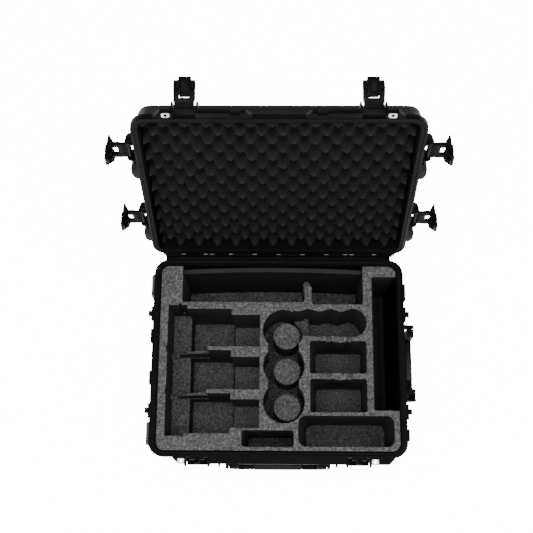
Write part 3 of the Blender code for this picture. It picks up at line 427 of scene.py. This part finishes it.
def drop_slivers(obj, fewest=24):
    """Deletes the loose scraps that the booleans and the bevel leave beside the body."""
    bm = bmesh.new()
    bm.from_mesh(obj.data)
    bmesh.ops.remove_doubles(bm, verts=bm.verts, dist=1e-6)
    bmesh.ops.dissolve_degenerate(bm, dist=1e-6, edges=bm.edges)
    waiting = set(bm.faces)
    scraps = []
    while waiting:
        group, border = [], [waiting.pop()]
        while border:
            face = border.pop()
            group.append(face)
            for edge in face.edges:
                for other in edge.link_faces:
                    if other in waiting:
                        waiting.remove(other)
                        border.append(other)
        if len(group) < fewest:
            scraps += group
    bmesh.ops.delete(bm, geom=scraps, context="FACES")
    bm.to_mesh(obj.data)
    bm.free()


def bevel(obj, width, segments=2, angle=28.0):
    step = obj.modifiers.new("edges", "BEVEL")
    step.width = width
    step.segments = segments
    step.limit_method = "ANGLE"
    step.angle_limit = math.radians(angle)
    step.harden_normals = False
    step.miter_outer = "MITER_ARC"
    bake(obj)


def dress(obj, name, slot, body, nodes=(), matrix=None, sharp=35.0, look=None):
    """Final name, material and body of a piece, and the CAD nodes it stands for."""
    if matrix is not None:
        obj.data.transform(matrix)
    obj.name = name
    obj.data.name = name
    obj.data.materials.clear()
    obj.data.materials.append(LOOKS[look or slot])
    for polygon in obj.data.polygons:
        polygon.material_index = 0
    obj.data.shade_smooth()
    obj.data.set_sharp_from_angle(angle=math.radians(sharp))
    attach(obj, body)
    if nodes:
        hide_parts(*nodes)
    return obj


def copy_of(node):
    """A loose copy of a CAD node's mesh, cleaned for bevelling."""
    obj = bpy.data.objects.new("tool", frame["nodes"][node].data.copy())
    bpy.context.scene.collection.objects.link(obj)
    clean(obj)
    return obj


def placed(tool, matrix):
    tool.data.transform(matrix)
    return tool


def ring(outer, inner, low, high):
    """An outline with a smaller one cut out of it."""
    overrun = 0.01
    return cut(prism(outer, low, high), [prism(inner, low - overrun, high + overrun)])


# ---------------------------------------------------------------- tub foam
MOUTH_Z = 0.30  # above the foam, so that every cut runs out of its top
ROUND_SIDES = 64
POCKETS = (  # x0, x1, y0, y1, corner radius, floor, how far the left and the back walls lean in
    (-0.2320, 0.0630, 0.1310, 0.2400, 0.006, 0.055, 0.0, 0.0),
    (0.0800, 0.2030, 0.1260, 0.2400, 0.006, 0.055, 0.0, 0.0),
    (0.2236, 0.3000, -0.1265, 0.1940, 0.006, 0.055, 0.0, 0.0),
    (0.0747, 0.2087, -0.0400, 0.0370, 0.006, 0.100, 0.020, 0.004),
    (0.0750, 0.2087, -0.1310, -0.0530, 0.006, 0.100, 0.020, 0.004),
    (0.0470, 0.2700, -0.2100, -0.1390, 0.018, 0.060, 0.024, 0.004),
    (-0.0850, 0.0365, -0.2110, -0.1730, 0.008, 0.075, 0.010, 0.004),
)
RIGHT_SLOT = POCKETS[2]

# The three left bays step down from a ledge to a main floor and up again to a smaller one.
BAY_STRIPS = ((-0.2640, -0.2190, 0.140), (-0.2192, -0.1120, 0.075), (-0.1122, -0.0440, 0.105))  # x0, x1, floor
BAYS = (  # y0, y1 of each strip
    ((0.0230, 0.1230), (0.0230, 0.1140), (0.0230, 0.0995)),
    ((-0.0785, 0.0140), (-0.0785, 0.0140), (-0.0785, -0.0020)),
    ((-0.1870, -0.0880), (-0.1810, -0.0880), (-0.1680, -0.1020)),
)
BAY_GROOVES = ((2, -0.1135, -0.1098, 0.060), (1, -0.2196, -0.2160, 0.062))  # strip, x0, x1, floor
GROOVE_INSET = 0.0002
BAY_NOTCHES = (  # x0, y0, floor, x1, y1
    (-0.2285, 0.1100, 0.140, -0.2191, 0.1230),
    (-0.2400, 0.1220, 0.165, -0.2330, 0.1270),
)
DIVIDERS = ((0.0130, 0.0240), (-0.0890, -0.0775))  # front and back face of each wall between bays
DIVIDER_TOP = ((-0.1680, 0.215), (-0.1950, 0.211), (-0.2200, 0.200), (-0.2440, 0.182), (-0.2445, 0.150),
               (-0.2660, 0.150), (-0.2660, MOUTH_Z), (-0.1680, MOUTH_Z))
DIVIDER_BOW = ((-0.1680, 0.0015), (-0.1950, 0.0020), (-0.2200, 0.0035), (-0.2400, 0.0060), (-0.2450, 0.0060))
DIVIDER_SKIM, DIVIDER_FRONT_SKIM, DIVIDER_FOOT, DIVIDER_THIN_TO = 0.002, 0.0025, 0.145, -0.1700

# Three round posts stand in a channel of three lobes, with a long scalloped pocket running out of the first.
LOBES = ((0.0120, 0.0630), (0.0130, -0.0220), (0.0135, -0.1080))
LOBE_RADIUS, LOBE_FLOOR, WAIST_HALF = 0.0490, 0.120, 0.0360
POST_RADIUS, POST_FOOT, POST_TOP, POST_SHIFT = 0.0315, 0.090, 0.230, (0.0080, -0.0085)
WAVY_END, WAVY_END_RADIUS, WAVY_FLOOR, WAVE_LENGTH = (0.1760, 0.0810), 0.0345, 0.095, 0.0520
WAVY_BACK_Y, WAVY_BACK_SWING, WAVY_FRONT_Y, WAVY_FRONT_SWING = 0.1115, 0.0032, 0.0480, 0.0012
WAVY_FROM_X, WAVY_TO_X = 0.0450, 0.1700
WAVY_STEP = ((0.0400, 0.0470, 0.093), (0.0760, 0.1160, 0.145))

# The walls between the right pockets bulge forwards in the middle and are notched at both ends of the bulge.
RIGHT_DIVIDERS = (0.0425, -0.0465)
BULGE = ((0.1250, -0.0050), (0.1350, -0.0082), (0.1460, -0.0092), (0.1570, -0.0082), (0.1650, -0.0050),
         (0.1650, 0.0040), (0.1250, 0.0040))
BULGE_FOOT = 0.110
BULGE_NOTCHES, NOTCH_HALF_X, NOTCH_HALF_Y, NOTCH_DEPTH = (0.1190, 0.1690), 0.0055, 0.012, 0.009

# The wall between the rear pockets stops short of the back and ends in a round edge.
REAR_GAPS = (
    ((0.0600, 0.2010, 0.075), (0.0830, 0.2600, MOUTH_Z)),
    ((0.0600, 0.1700, 0.165), (0.0830, 0.2600, MOUTH_Z)),
)
REAR_POST_X, REAR_POST_Y = 0.0715, 0.1990
REAR_POST_FOOT, REAR_POST_TOP, REAR_POST_RADIUS = 0.070, 0.1650, 0.0085
WHEEL_WELL_X, WHEEL_WELL_HALF, WHEEL_WELL_TOP = (-0.300, -0.2368), 0.0210, 0.0885


def leaning_pocket(x0, x1, y0, y1, radius, floor, lean_x, lean_y):
    """A pocket whose floor sits a little inside its mouth, as hot-wire cut foam does."""
    top = rounded_box_outline(x0, x1, y0, y1, radius)
    bottom = rounded_box_outline(x0 + lean_x, x1, y0, y1 - lean_y, radius)
    return loft([level(bottom, floor), level(top, FOAM_TOP_Z + 0.0005), level(top, MOUTH_Z)])


def wavy_pocket():
    """Long pocket with a round end and a scalloped back edge, running out of the first lobe."""
    def wave(x):
        return math.cos(2 * math.pi * (x - WAVY_END[0]) / WAVE_LENGTH)

    length = WAVY_TO_X - WAVY_FROM_X
    points = []
    for step in range(13):
        angle = math.radians(-90 + 180 * step / 12)
        points.append((WAVY_END[0] + WAVY_END_RADIUS * math.cos(angle),
                       WAVY_END[1] + WAVY_END_RADIUS * math.sin(angle)))
    for step in range(25):
        x = WAVY_TO_X - length * step / 24
        points.append((x, WAVY_BACK_Y + WAVY_BACK_SWING * wave(x)))
    points += [(0.0340, 0.1100), (0.0340, 0.0500)]
    for step in range(13):
        x = WAVY_FROM_X + length * step / 12
        points.append((x, WAVY_FRONT_Y + WAVY_FRONT_SWING * wave(x)))
    return points


def foam_block():
    """The foam insert before any pocket is cut: it follows the lean of the tub's walls."""
    share = (PAD_THICKNESS + GAP) / (RIM_Z - 0.003 - FLOOR_Z)
    low_width = FLOOR_WIDTH + share * (INNER_WIDTH - FLOOR_WIDTH) - 4 * GAP
    low_depth = FLOOR_DEPTH + share * (INNER_DEPTH - FLOOR_DEPTH) - 4 * GAP
    return loft([
        level(rounded_outline(low_width, low_depth, INNER_RADIUS), FLOOR_Z + PAD_THICKNESS + 2 * GAP),
        level(rounded_outline(INNER_WIDTH - 4 * GAP, INNER_DEPTH - 4 * GAP, INNER_RADIUS), FOAM_TOP_Z),
    ])


def cut_bays(block):
    for bay in BAYS:
        for (x0, x1, floor), (y0, y1) in zip(BAY_STRIPS, bay):
            cut(block, [box((x0, y0, floor), (x1, y1, MOUTH_Z))])
    cut(block, [box((x0, y0, floor), (x1, y1, MOUTH_Z)) for x0, y0, floor, x1, y1 in BAY_NOTCHES])
    for y_front, y_back in DIVIDERS:
        cut(block, [prism(DIVIDER_TOP, y_front - DIVIDER_SKIM, y_back + DIVIDER_SKIM, "y")])
        bow = [(DIVIDER_BOW[0][0], y_back + DIVIDER_SKIM)]
        bow += [(x, y_back - inset) for x, inset in DIVIDER_BOW]
        bow.append((DIVIDER_BOW[-1][0], y_back + DIVIDER_SKIM))
        cut(block, [prism(bow, DIVIDER_FOOT, MOUTH_Z)])
        cut(block, [box((DIVIDER_BOW[-1][0], y_front - DIVIDER_SKIM, DIVIDER_FOOT),
                        (DIVIDER_THIN_TO, y_front + DIVIDER_FRONT_SKIM, MOUTH_Z))])
    for bay in BAYS:
        grooves = []
        for strip, x0, x1, floor in BAY_GROOVES:
            y0, y1 = bay[strip]
            grooves.append(box((x0, y0 + GROOVE_INSET, floor), (x1, y1 - GROOVE_INSET, MOUTH_Z)))
        cut(block, grooves)


def lobe(place):
    return cylinder((*place, LOBE_FLOOR), (*place, MOUTH_Z), LOBE_RADIUS, ROUND_SIDES)


def cut_channel(block):
    for place in LOBES:
        cut(block, [lobe(place)])
    waist_x = LOBES[0][0]
    cut(block, [box((waist_x - WAIST_HALF, LOBES[2][1], LOBE_FLOOR),
                    (waist_x + WAIST_HALF + 0.001, LOBES[0][1], MOUTH_Z))])
    cut(block, [prism(wavy_pocket(), WAVY_FLOOR, MOUTH_Z)])
    join(block, [box(*WAVY_STEP)])
    cut(block, [lobe(LOBES[0])])
    for x, y in LOBES:
        x, y = x + POST_SHIFT[0], y + POST_SHIFT[1]
        join(block, [cylinder((x, y, POST_FOOT), (x, y, POST_TOP), POST_RADIUS, ROUND_SIDES)])


def shape_dividers(block):
    for y in RIGHT_DIVIDERS:
        join(block, [prism([(x, y + dy) for x, dy in BULGE], BULGE_FOOT, FOAM_TOP_Z - 0.0001)])
        for x in BULGE_NOTCHES:
            cut(block, [box((x - NOTCH_HALF_X, y - NOTCH_HALF_Y, FOAM_TOP_Z - NOTCH_DEPTH),
                            (x + NOTCH_HALF_X, y + NOTCH_HALF_Y, MOUTH_Z))])
    cut(block, [box(low, high) for low, high in REAR_GAPS])
    join(block, [cylinder((REAR_POST_X, REAR_POST_Y, REAR_POST_FOOT), (REAR_POST_X, REAR_POST_Y, REAR_POST_TOP),
                          REAR_POST_RADIUS)])


def make_tub_foam():
    block = foam_block()
    for sign in (-1, 1):
        y = sign * WHEEL_Y
        cut(block, [box((WHEEL_WELL_X[0], y - WHEEL_WELL_HALF, 0.0),
                        (WHEEL_WELL_X[1], y + WHEEL_WELL_HALF, WHEEL_WELL_TOP))])
    for pocket in POCKETS:
        cut(block, [leaning_pocket(*pocket)])
    cut_bays(block)
    cut_channel(block)
    shape_dividers(block)
    clean(block, 0.5)
    bevel(block, 0.0011, 2, 40.0)
    drop_slivers(block)
    made = dress(block, "cut_foam_insert", "base_foam", "tub", ("tub_foam",), None, 30.0)


def make_bottom_pad():
    pad = copy_of("bottom_foam_pad")
    bevel(pad, 0.0008, 2, 40.0)
    made = dress(pad, "foam_floor_pad", "base_foam", "tub", ("bottom_foam_pad",))


LINING_MIDDLE_X, LINING_HALF, LINING_FROM_X, LINING_LENGTH = -0.0145, 0.2165, -0.2310, 0.4330
LINING_BOW, LINING_STEPS = 0.0060, 40


def lining(low, high, thick):
    """Foam strip along the back of the rear pockets, bowed towards the wall in the middle."""
    bm = bmesh.new()
    loops = []
    for z in (low, high):
        share = (z - FLOOR_Z) / (RIM_Z - 0.003 - FLOOR_Z)
        wall = (FLOOR_DEPTH + share * (INNER_DEPTH - FLOOR_DEPTH)) / 2 - 2 * GAP
        front, back = [], []
        for step in range(LINING_STEPS + 1):
            x = LINING_FROM_X + LINING_LENGTH * step / LINING_STEPS
            face = wall - LINING_BOW * ((x - LINING_MIDDLE_X) / LINING_HALF) ** 2
            front.append((x, face - thick, z))
            back.append((x, face, z))
        loops += [[bm.verts.new(point) for point in front], [bm.verts.new(point) for point in back]]
    low_front, low_back, high_front, high_back = loops
    for i in range(LINING_STEPS):
        bm.faces.new((low_front[i], low_front[i + 1], high_front[i + 1], high_front[i]))
        bm.faces.new((low_back[i + 1], low_back[i], high_back[i], high_back[i + 1]))
        bm.faces.new((high_front[i], high_front[i + 1], high_back[i + 1], high_back[i]))
        bm.faces.new((low_back[i], low_back[i + 1], low_front[i + 1], low_front[i]))
    for i in (0, LINING_STEPS):
        bm.faces.new((low_front[i], high_front[i], high_back[i], low_back[i]))
    return to_object("tool", bm)


def make_rear_linings():
    strip = dress(lining(0.050, 0.2530, 0.0060), "rear_pocket_lining", "lid_foam", "tub", look="dark_lining")
    ledge = lining(0.2535, 0.2610, 0.0110)
    bevel(ledge, 0.0015, 2)
    dress(ledge, "rear_pocket_ledge", "lid_foam", "tub", look="ledge")


def make_slot_lining():
    """Dark foam lining in the right slot: floor, inner wall and two upright ribs."""
    edge, floor, thick = 0.0008, 0.0556, 0.0050
    x0, x1, y0, y1 = RIGHT_SLOT[0] + edge, 0.2752, RIGHT_SLOT[2] + edge, RIGHT_SLOT[3] - edge
    base = box((x0, y0, floor), (x1, y1, floor + thick))
    wall = [(x0, 0.0550), (x0 + 0.0040, 0.0550), (x0 + 0.0030, 0.2600), (x0, 0.2620)]
    join(base, [prism(wall, y0, y1, "y")])
    for x in (0.2440, 0.2620):
        rib = [(x - 0.0020, 0.0580), (x + 0.0020, 0.0580), (x + 0.0012, 0.0700), (x - 0.0012, 0.0700)]
        join(base, [prism(rib, y0, y1, "y")])
    clean(base)
    bevel(base, 0.0006, 1)
    dress(base, "right_slot_lining", "lid_foam", "tub", look="dark_lining")


# ---------------------------------------------------------------- egg-crate lid foam
CRATE_PITCH_X, CRATE_PITCH_Y, CRATE_SWING, CRATE_SHARPNESS = 0.0444, 0.0520, 0.0250, 1.3
CRATE_FIRST_X, CRATE_FIRST_INSET = -0.0133, 0.0150
CRATE_COLUMNS, CRATE_ROWS = 220, 180
CRATE_EDGE = 0.0072
# The lid foam look paints shade from the lift value, dark in the hollows and light on the crests; the slab's sides
# and back take this value.
SIDE_LIFT = 0.2


def make_lid_foam():
    """Staggered bumps over a slab, built closed: the crests face down towards the tub."""
    top = RIM_Z + LID_HEIGHT - LID_TOP_THICKNESS - GAP
    low = top - LID_FOAM_THICKNESS
    wide, deep, radius = INNER_WIDTH - CRATE_EDGE, INNER_DEPTH - CRATE_EDGE, INNER_RADIUS
    first_y = -deep / 2 + CRATE_FIRST_INSET
    bm = bmesh.new()
    # the crest share is stored as lift, which the foam look turns into painted shade and painted highlight
    lift = bm.verts.layers.float.new("lift")
    grid = []
    for row in range(CRATE_ROWS + 1):
        y = -deep / 2 + deep * row / CRATE_ROWS
        corner = 0.0
        if deep / 2 - abs(y) < radius:
            corner = radius - math.sqrt(max(0.0, radius ** 2 - (abs(y) - deep / 2 + radius) ** 2))
        wave_y = math.cos(2 * math.pi * (y - first_y) / CRATE_PITCH_Y)
        line = []
        for column in range(CRATE_COLUMNS + 1):
            x = (-1 + 2 * column / CRATE_COLUMNS) * (wide / 2 - corner)
            wave = math.cos(2 * math.pi * (x - CRATE_FIRST_X) / CRATE_PITCH_X) * wave_y
            share = (0.5 + 0.5 * wave) ** CRATE_SHARPNESS
            vert = bm.verts.new((x, y, low + CRATE_SWING * (1.0 - share)))
            vert[lift] = share
            line.append(vert)
        grid.append(line)
    for near, far in zip(grid, grid[1:]):
        for i in range(CRATE_COLUMNS):
            bm.faces.new((near[i], near[i + 1], far[i + 1], far[i]))
    rim = grid[0] + [line[-1] for line in grid[1:]] + grid[-1][-2::-1] + [line[0] for line in grid[-2:0:-1]]
    back = []
    for vert in rim:
        made = bm.verts.new((vert.co.x, vert.co.y, top))
        made[lift] = SIDE_LIFT
        back.append(made)
    for i in range(len(rim)):
        j = (i + 1) % len(rim)
        bm.faces.new((rim[i], back[i], back[j], rim[j]))
    bm.faces.new(back)
    foam = dress(to_object("tool", bm), "egg_crate_foam", "lid_foam", "lid", ("lid_foam",), LID_OPEN, 60.0)


# ---------------------------------------------------------------- shells
SHELL_BEVEL = 0.0009


def make_tub():
    """The tub with a shallow seal groove round its rim."""
    groove_out, groove_in, groove_depth = 0.0095, 0.0055, 0.0015
    tub = copy_of("tub_shell")
    outer, inner = (rounded_outline(INNER_WIDTH + 2 * grow, INNER_DEPTH + 2 * grow, INNER_RADIUS + grow)
                    for grow in (groove_out, groove_in))
    cut(tub, [ring(outer, inner, RIM_Z - groove_depth, RIM_Z + 0.005)])
    clean(tub)
    bevel(tub, SHELL_BEVEL, 2, 30.0)
    dress(tub, "tub_moulding", "shell_plastic", "tub", ("tub_shell",))


def make_lid():
    lid = copy_of("lid_shell")
    bevel(lid, SHELL_BEVEL, 2, 30.0)
    dress(lid, "lid_moulding", "shell_plastic", "lid", ("lid_shell",))


# ---------------------------------------------------------------- latches
ARM_RIB_X, ARM_RIB_HALF = (-0.0160, -0.0107, -0.0053, 0.0, 0.0053, 0.0107, 0.0160), 0.0009
ARM_RIB = ((-0.0030, -0.0030), (-0.0046, -0.0045), (-0.0046, -0.0140), (-0.0030, -0.0160))
THUMB_RIDGE_LOW, THUMB_RIDGE_HIGH, THUMB_RIDGE_HALF = (-0.0110, 0.0085), (0.0110, 0.0110), 0.0003
THUMB_RIDGES, THUMB_RIDGE_FROM, THUMB_RIDGE_STEP = 4, -0.0205, 0.0014
FORK_PAD = ((0.0058, -0.0060), (0.0046, -0.0070), (0.0046, -0.0170), (0.0058, -0.0185))
FORK_PAD_X = (0.0120, 0.0190)


def latch_frames(side, offset, arm_turn, lever_turn):
    """Where the arm and the lever stand on the open lid, in the pose that the model rests in."""
    base = LID_OPEN @ edge_frame(side, offset)
    arm = (base @ Matrix.Translation((0.0, LATCH_PIVOT_OUT, LATCH_PIVOT_UP))
           @ Matrix.Rotation(math.radians(arm_turn), 4, "X"))
    lever = (arm @ Matrix.Translation((0.0, 0.0, -LATCH_LINK))
             @ Matrix.Rotation(math.radians(lever_turn), 4, "X"))
    return arm, lever


def latch_piece(node, name, extras, softening, matrix):
    """A CAD latch part with small raised details set into its own frame."""
    body = copy_of(node)
    bevel(body, 0.0005, 2, 30.0)
    for piece in extras:
        bevel(piece, softening, 1)
        placed(piece, matrix)
    gather(body, extras)
    dress(body, name, "latch_plastic", node, (node,))


def make_latch(name, side, offset, arm_turn, lever_turn):
    arm_at, lever_at = latch_frames(side, offset, arm_turn, lever_turn)
    ribs = [prism(ARM_RIB, x - ARM_RIB_HALF, x + ARM_RIB_HALF, "x") for x in ARM_RIB_X]
    latch_piece("latch_arm_" + name, "latch_link_" + name, ribs, 0.0003, arm_at)
    extras = []
    for step in range(THUMB_RIDGES):
        z = THUMB_RIDGE_FROM - THUMB_RIDGE_STEP * step
        extras.append(box((*THUMB_RIDGE_LOW, z - THUMB_RIDGE_HALF), (*THUMB_RIDGE_HIGH, z + THUMB_RIDGE_HALF)))
    for sign in (-1, 1):
        x0, x1 = sorted(sign * x for x in FORK_PAD_X)
        extras.append(prism(FORK_PAD, x0, x1, "x"))
    latch_piece("latch_lever_" + name, "latch_pull_" + name, extras, 0.0002, lever_at)


# ---------------------------------------------------------------- handles
HANDLES = {  # side, place along the edge, width, half width of the smooth middle
    "front_handle": ("front", 0.0, 0.226, 0.226 / 2 - 0.0560),
    "side_handle": ("right", SIDE_HANDLE_Y, 0.166, 0.166 / 2 - 0.0480),
}
RIDGES, RIDGE_FROM, RIDGE_STEP, RIDGE_SLANT = 5, 0.0060, 0.0085, 0.0050
RIDGE_HALF, RIDGE_OUT, RIDGE_LOW, RIDGE_HIGH, RIDGE_END = 0.0016, 0.0082, -0.0006, 0.0176, 0.006


def make_handle(name, side, place, width, middle):
    """A handle with slanted ridges at both ends of its bar and a smooth soft cover between them."""
    frame_at = edge_frame(side, place)
    body = copy_of(name)
    bevel(body, 0.0018, 3, 30.0)
    bar = HANDLE_PIVOT_Z - RIM_Z - HANDLE_DROP
    ridges = []
    for sign in (-1, 1):
        slant = sign * RIDGE_SLANT
        for step in range(RIDGES):
            x = sign * (middle + RIDGE_FROM + RIDGE_STEP * step)
            if abs(x + slant) > width / 2 - RIDGE_END:
                continue
            outline = [(x - RIDGE_HALF, bar + RIDGE_LOW), (x + RIDGE_HALF, bar + RIDGE_LOW),
                       (x + RIDGE_HALF + slant, bar + RIDGE_HIGH), (x - RIDGE_HALF + slant, bar + RIDGE_HIGH)]
            piece = prism(outline, HANDLE_PIVOT_OUT - RIDGE_OUT, HANDLE_PIVOT_OUT + RIDGE_OUT, "y")
            bevel(piece, 0.0007, 2)
            ridges.append(placed(piece, frame_at))
    gather(body, ridges)
    dress(body, name + "_frame", "handle_plastic", name, (name,))
    cover = copy_of(name + "_cover")
    bevel(cover, 0.0012, 3, 40.0)
    dress(cover, name + "_soft_cover", "grip_cover", name, (name + "_cover",))


# ---------------------------------------------------------------- wheels, pull handle, small hardware
SPOKES, SPOKE_FROM, SPOKE_TO = 5, 0.0075, 0.0235
SPOKE_HALF, SPOKE_FACE, SPOKE_DEPTH = 0.0022, 0.0098, 0.0012


def make_wheel(name, sign):
    """A wheel with low spokes on both faces of its hub."""
    wheel = copy_of(name)
    bevel(wheel, 0.0008, 2, 30.0)
    spokes = []
    for step in range(SPOKES):
        turn = (Matrix.Translation((WHEEL_X, sign * WHEEL_Y, WHEEL_Z))
                @ Matrix.Rotation(2 * math.pi * step / SPOKES, 4, "Y"))
        for face in (-SPOKE_FACE, SPOKE_FACE):
            spoke = box((-SPOKE_HALF, face - SPOKE_DEPTH, SPOKE_FROM), (SPOKE_HALF, face + SPOKE_DEPTH, SPOKE_TO))
            bevel(spoke, 0.0006, 1)
            spokes.append(placed(spoke, turn))
    gather(wheel, spokes)
    dress(wheel, name + "_tyre_and_hub", "wheel_rubber", name, (name,))


def make_simple(node, name, width):
    piece = copy_of(node)
    bevel(piece, width, 2, 35.0)
    dress(piece, name, SLOT_OF[node], BODY_OF[node], (node,))


def make_hardware():
    for half in ("tub", "lid"):
        for side in ("left", "right"):
            make_simple(f"{half}_padlock_plate_{side}", f"{half}_padlock_eye_{side}", 0.00035)
    make_simple("pull_handle_grip", "pull_handle_crossbar", 0.0015)
    make_simple("pull_handle_tube_front", "pull_handle_rail_front", 0.0006)
    make_simple("pull_handle_tube_rear", "pull_handle_rail_rear", 0.0006)
    make_simple("pressure_valve", "pressure_valve_cap", 0.0008)
    make_simple("lid_gasket", "lid_seal_ring", 0.0008)


def carry_over():
    """Pins and axles keep their CAD shape and get a metal look; the pins of latches and handles are dark."""
    for node, obj in frame["nodes"].items():
        if not ("pin" in node or "axle" in node):
            continue
        look = "hinge_steel" if node == "hinge_pin" else "steel" if "axle" in node else "dark_pin"
        obj.data.materials.clear()
        obj.data.materials.append(LOOKS[look])


# ---------------------------------------------------------------- stage
BACKDROP_GLOW, FLOOR_GLOW, WORLD_GLOW = 12.0, 3.0, 0.22
FLOOR_HALF, FLOOR_DROP = 25.0, 0.0005
LIGHT_TARGET = (0.0, 0.1, 0.3)
LIGHTS = (  # name, place, size, watts
    ("overhead", (0.0, -0.35, 3.4), (2.6, 1.8), 84.0),
    ("left_fill", (-2.6, -0.6, 2.4), (1.2, 2.0), 26.0),
    ("right_fill", (2.6, -0.6, 2.4), (1.2, 2.0), 26.0),
)
CAMERA_PLACE = (0.003, -0.339, 2.11 + RIM_Z)
CAMERA_TILT, CAMERA_PAN, CAMERA_ROLL = math.radians(14.8), math.radians(-0.85), math.radians(0.2)
SENSOR_WIDTH, FOCAL_PIXELS, FRAME_PIXELS = 36.0, 900.0, 533.0


def white_backdrop(tree, socket, glow_on_object):
    """The camera sees white, while the object gets only the weaker glow given here."""
    node = tree.nodes.new("ShaderNodeMath")
    node.operation = "MULTIPLY_ADD"
    node.inputs[1].default_value = BACKDROP_GLOW
    node.inputs[2].default_value = glow_on_object
    tree.links.new(tree.nodes.new("ShaderNodeLightPath").outputs["Is Camera Ray"], node.inputs[0])
    tree.links.new(node.outputs[0], socket)


def make_floor():
    bm = bmesh.new()
    bmesh.ops.create_grid(bm, x_segments=1, y_segments=1, size=FLOOR_HALF)
    floor = to_object("floor", bm, closed=False)
    floor.location.z = -FLOOR_DROP
    made, tree, shader = new_material("pale_floor")
    coords = tree.nodes.new("ShaderNodeTexCoord")
    cloud = noise(tree, coords, 2.0, 2.0)
    tone = ramp(tree, cloud.outputs["Fac"], ((0.3, 0.93), (0.7, 0.96)))
    tree.links.new(tone.outputs["Color"], shader.inputs["Base Color"])
    shader.inputs["Roughness"].default_value = 0.95
    shader.inputs["Specular IOR Level"].default_value = 0.0
    shader.inputs["Emission Color"].default_value = (1.0, 1.0, 1.0, 1.0)
    white_backdrop(tree, shader.inputs["Emission Strength"], FLOOR_GLOW)
    floor.data.materials.append(made)


def make_lights():
    world = bpy.data.worlds.new("studio")
    bpy.context.scene.world = world
    world.use_nodes = True
    shade = world.node_tree.nodes["Background"]
    shade.inputs["Color"].default_value = (1.0, 1.0, 1.0, 1.0)
    white_backdrop(world.node_tree, shade.inputs["Strength"], WORLD_GLOW)
    for name, place, size, power in LIGHTS:
        data = bpy.data.lights.new(name, "AREA")
        data.shape = "RECTANGLE"
        data.size, data.size_y = size
        data.energy = power
        lamp = bpy.data.objects.new(name, data)
        bpy.context.scene.collection.objects.link(lamp)
        lamp.location = place
        lamp.rotation_mode = "QUATERNION"
        lamp.rotation_quaternion = (Vector(LIGHT_TARGET) - Vector(place)).to_track_quat("-Z", "Y")


def make_camera():
    """Nearly straight down from in front of the case, tilted towards the lid."""
    straight = Vector((0.0, math.sin(CAMERA_TILT), -math.cos(CAMERA_TILT)))
    up = Vector((0.0, math.cos(CAMERA_TILT), math.sin(CAMERA_TILT)))
    across = Vector((1.0, 0.0, 0.0))
    forward = straight * math.cos(CAMERA_PAN) + across * math.sin(CAMERA_PAN)
    level_right = across * math.cos(CAMERA_PAN) - straight * math.sin(CAMERA_PAN)
    right = level_right * math.cos(CAMERA_ROLL) + up * math.sin(CAMERA_ROLL)
    rolled_up = up * math.cos(CAMERA_ROLL) - level_right * math.sin(CAMERA_ROLL)
    data = bpy.data.cameras.new("camera")
    data.sensor_width = SENSOR_WIDTH
    data.lens = SENSOR_WIDTH * FOCAL_PIXELS / FRAME_PIXELS
    data.clip_end = 50.0
    camera = bpy.data.objects.new("camera", data)
    bpy.context.scene.collection.objects.link(camera)
    turn = Matrix((right, rolled_up, -forward)).transposed().to_4x4()
    camera.matrix_world = Matrix.Translation(CAMERA_PLACE) @ turn
    bpy.context.scene.camera = camera


# ---------------------------------------------------------------- build
def main():
    make_camera()
    make_lights()
    make_floor()
    make_tub()
    make_tub_foam()
    make_bottom_pad()
    make_rear_linings()
    make_slot_lining()
    make_lid()
    make_lid_foam()
    for name, values in LATCHES.items():
        make_latch(name, *values)
    for name, values in HANDLES.items():
        make_handle(name, *values)
    make_wheel("wheel_front", -1)
    make_wheel("wheel_rear", 1)
    make_hardware()
    carry_over()


main()
